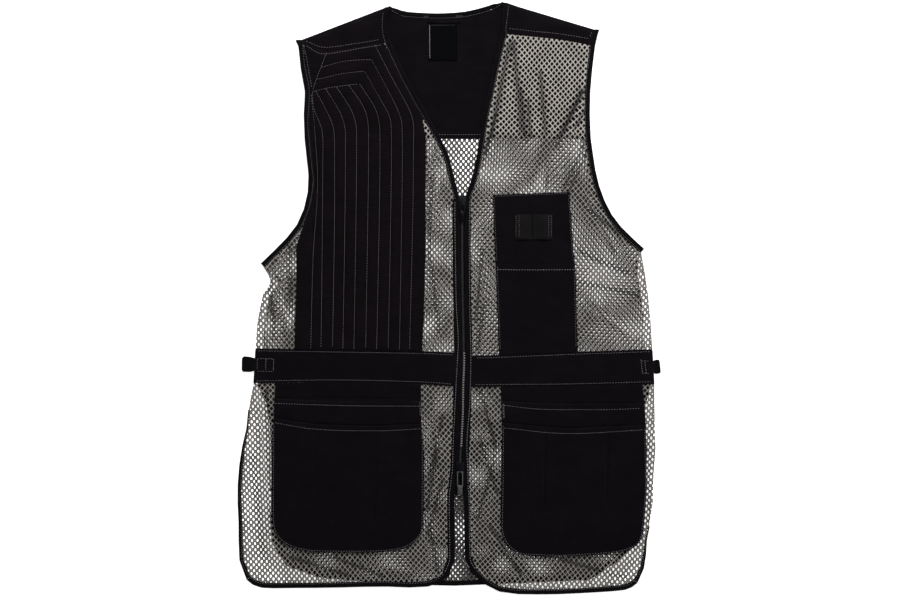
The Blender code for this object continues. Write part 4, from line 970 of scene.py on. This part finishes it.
solid = shell_of("zip_teeth", 12)
teeth_form = BVHTree.FromBMesh(solid)
solid.free()
tooth = bmesh.new()
bmesh.ops.create_cube(tooth, size=1)
bmesh.ops.scale(tooth, verts=tooth.verts, vec=[s * MM for s in TOOTH])
bmesh.ops.bevel(tooth, geom=tooth.edges, offset=TOOTH_EDGE * MM, segments=1,
                profile=0.5, affect="EDGES", material=-1)
dark_places, bright_places = [], []
for k, spot in enumerate(smooth_line(ZIP_LINE, TOOTH_PITCH / 2)):
    hit = surface(teeth_form, spot)
    if hit:
        hand = -1 if k % 2 else 1
        level = hit.z - 0.5 * TOOTH[2] * MM
        place = Matrix.Translation((spot.x + hand * TOOTH_ASIDE * MM, spot.y, level))
        # Painted highlight: in this span the right tape's teeth take the bright nickel
        bright = hand > 0 and HIGHLIGHT_SPAN[0] * MM < spot.y < HIGHLIGHT_SPAN[1] * MM
        (bright_places if bright else dark_places).append(place)
dark_row, bright_row = repeated(tooth.copy(), dark_places), repeated(tooth, bright_places)
dark_teeth = piece("zip_dark_teeth", dark_row, dark_nickel, ["zip_teeth"], levels=0)
bright_teeth = piece("zip_bright_teeth", bright_row, highlight_nickel, levels=0)
for face in [*dark_teeth.data.polygons, *bright_teeth.data.polygons]:
    face.use_smooth = False


# The two sliders and their pulls: pressed metal painted black. Each pull hangs from a bridge
# on its slider by an eye, and its end is pierced with a long slot. The lower pull is a paler grey metal.

METAL_EDGE = 0.28
# Edges that bend by more than the first angle are rounded, and by less than the second removed
SMOOTH_ANGLE = 0.5
FLAT_ANGLE = 0.02
for end in ("upper", "lower"):
    for part, body in (("slider", "garment"), ("pull", f"{end}_pull")):
        shape = cad_mesh(f"{part}_{end}")
        bmesh.ops.dissolve_limit(shape, angle_limit=FLAT_ANGLE, verts=shape.verts, edges=shape.edges)
        inner_edges = [e for e in shape.edges if len(e.link_faces) == 2]
        sharp = [e for e in inner_edges if e.calc_face_angle() > SMOOTH_ANGLE]
        bmesh.ops.bevel(shape, geom=sharp, offset=METAL_EDGE * MM, segments=2,
                        profile=0.5, affect="EDGES", clamp_overlap=True, material=-1)
        plating = pale_metal if (end, part) == ("lower", "pull") else black_metal
        piece(f"{end}_{part}_metal", shape, plating, [f"{part}_{end}"],
              body=body, levels=0)


# The studio: a plain white sweep under soft even light from above, a little stronger from
# beyond the neck, and a camera straight overhead.

# The floor's half width in metres, and how many millimetres it lies below the vest
FLOOR_HALF = 3.0
FLOOR_DROP = 0.3
floor_mesh = bmesh.new()
bmesh.ops.create_grid(floor_mesh, x_segments=1, y_segments=1, size=FLOOR_HALF)
bmesh.ops.translate(floor_mesh, verts=floor_mesh.verts, vec=(0, 0, -FLOOR_DROP * MM))
paper, _tree, shader = new_finish("white_paper")
PAPER = {"Base Color": (0.9, 0.9, 0.9, 1), "Roughness": 0.9,
         "Emission Color": (1, 1, 1, 1), "Emission Strength": 0.72}
set_inputs(shader, PAPER)
mesh_object("floor", floor_mesh, paper)

world = bpy.data.worlds.new("studio")
world.use_nodes = True
set_inputs(world.node_tree.nodes["Background"], {"Color": (1, 1, 1, 1), "Strength": 0.30})
bpy.context.scene.world = world
# Each lamp's place in metres, its power in watts and its width
LAMPS = {"key": ((0.1, 1.1, 1.3), 25, 1.0), "fill": ((1.2, -0.2, 1.6), 7, 1.6)}
for lamp_name, (spot, energy, width) in LAMPS.items():
    lamp = in_scene(lamp_name, bpy.data.lights.new(lamp_name, "AREA"))
    lamp.data.energy = energy
    lamp.data.size = width
    lamp.location = spot
    lamp.rotation_euler = (-Vector(spot)).to_track_quat("-Z", "Y").to_euler()

# The photograph's width in pixels, and how many millimetres one shows on the cloth
PHOTO_PIXELS = 900
PIXEL = 1.27
CLOTH_LEVEL = 5
PHOTO_WIDE = PHOTO_PIXELS * PIXEL * MM
# Where the middle of the photograph lies on the cloth
PHOTO_CENTRE = (1.27, -2.73)
# The camera's height over the cloth in metres, and the width of its sensor in millimetres
CAMERA_HEIGHT = 2.6
SENSOR = 36
camera = in_scene("camera", bpy.data.cameras.new("camera"))
camera.data.sensor_width = SENSOR
camera.data.lens = SENSOR * CAMERA_HEIGHT / PHOTO_WIDE
camera.location = (PHOTO_CENTRE[0] * MM, PHOTO_CENTRE[1] * MM, CLOTH_LEVEL * MM + CAMERA_HEIGHT)
bpy.context.scene.camera = camera
bpy.context.scene.view_settings.view_transform = "Standard"
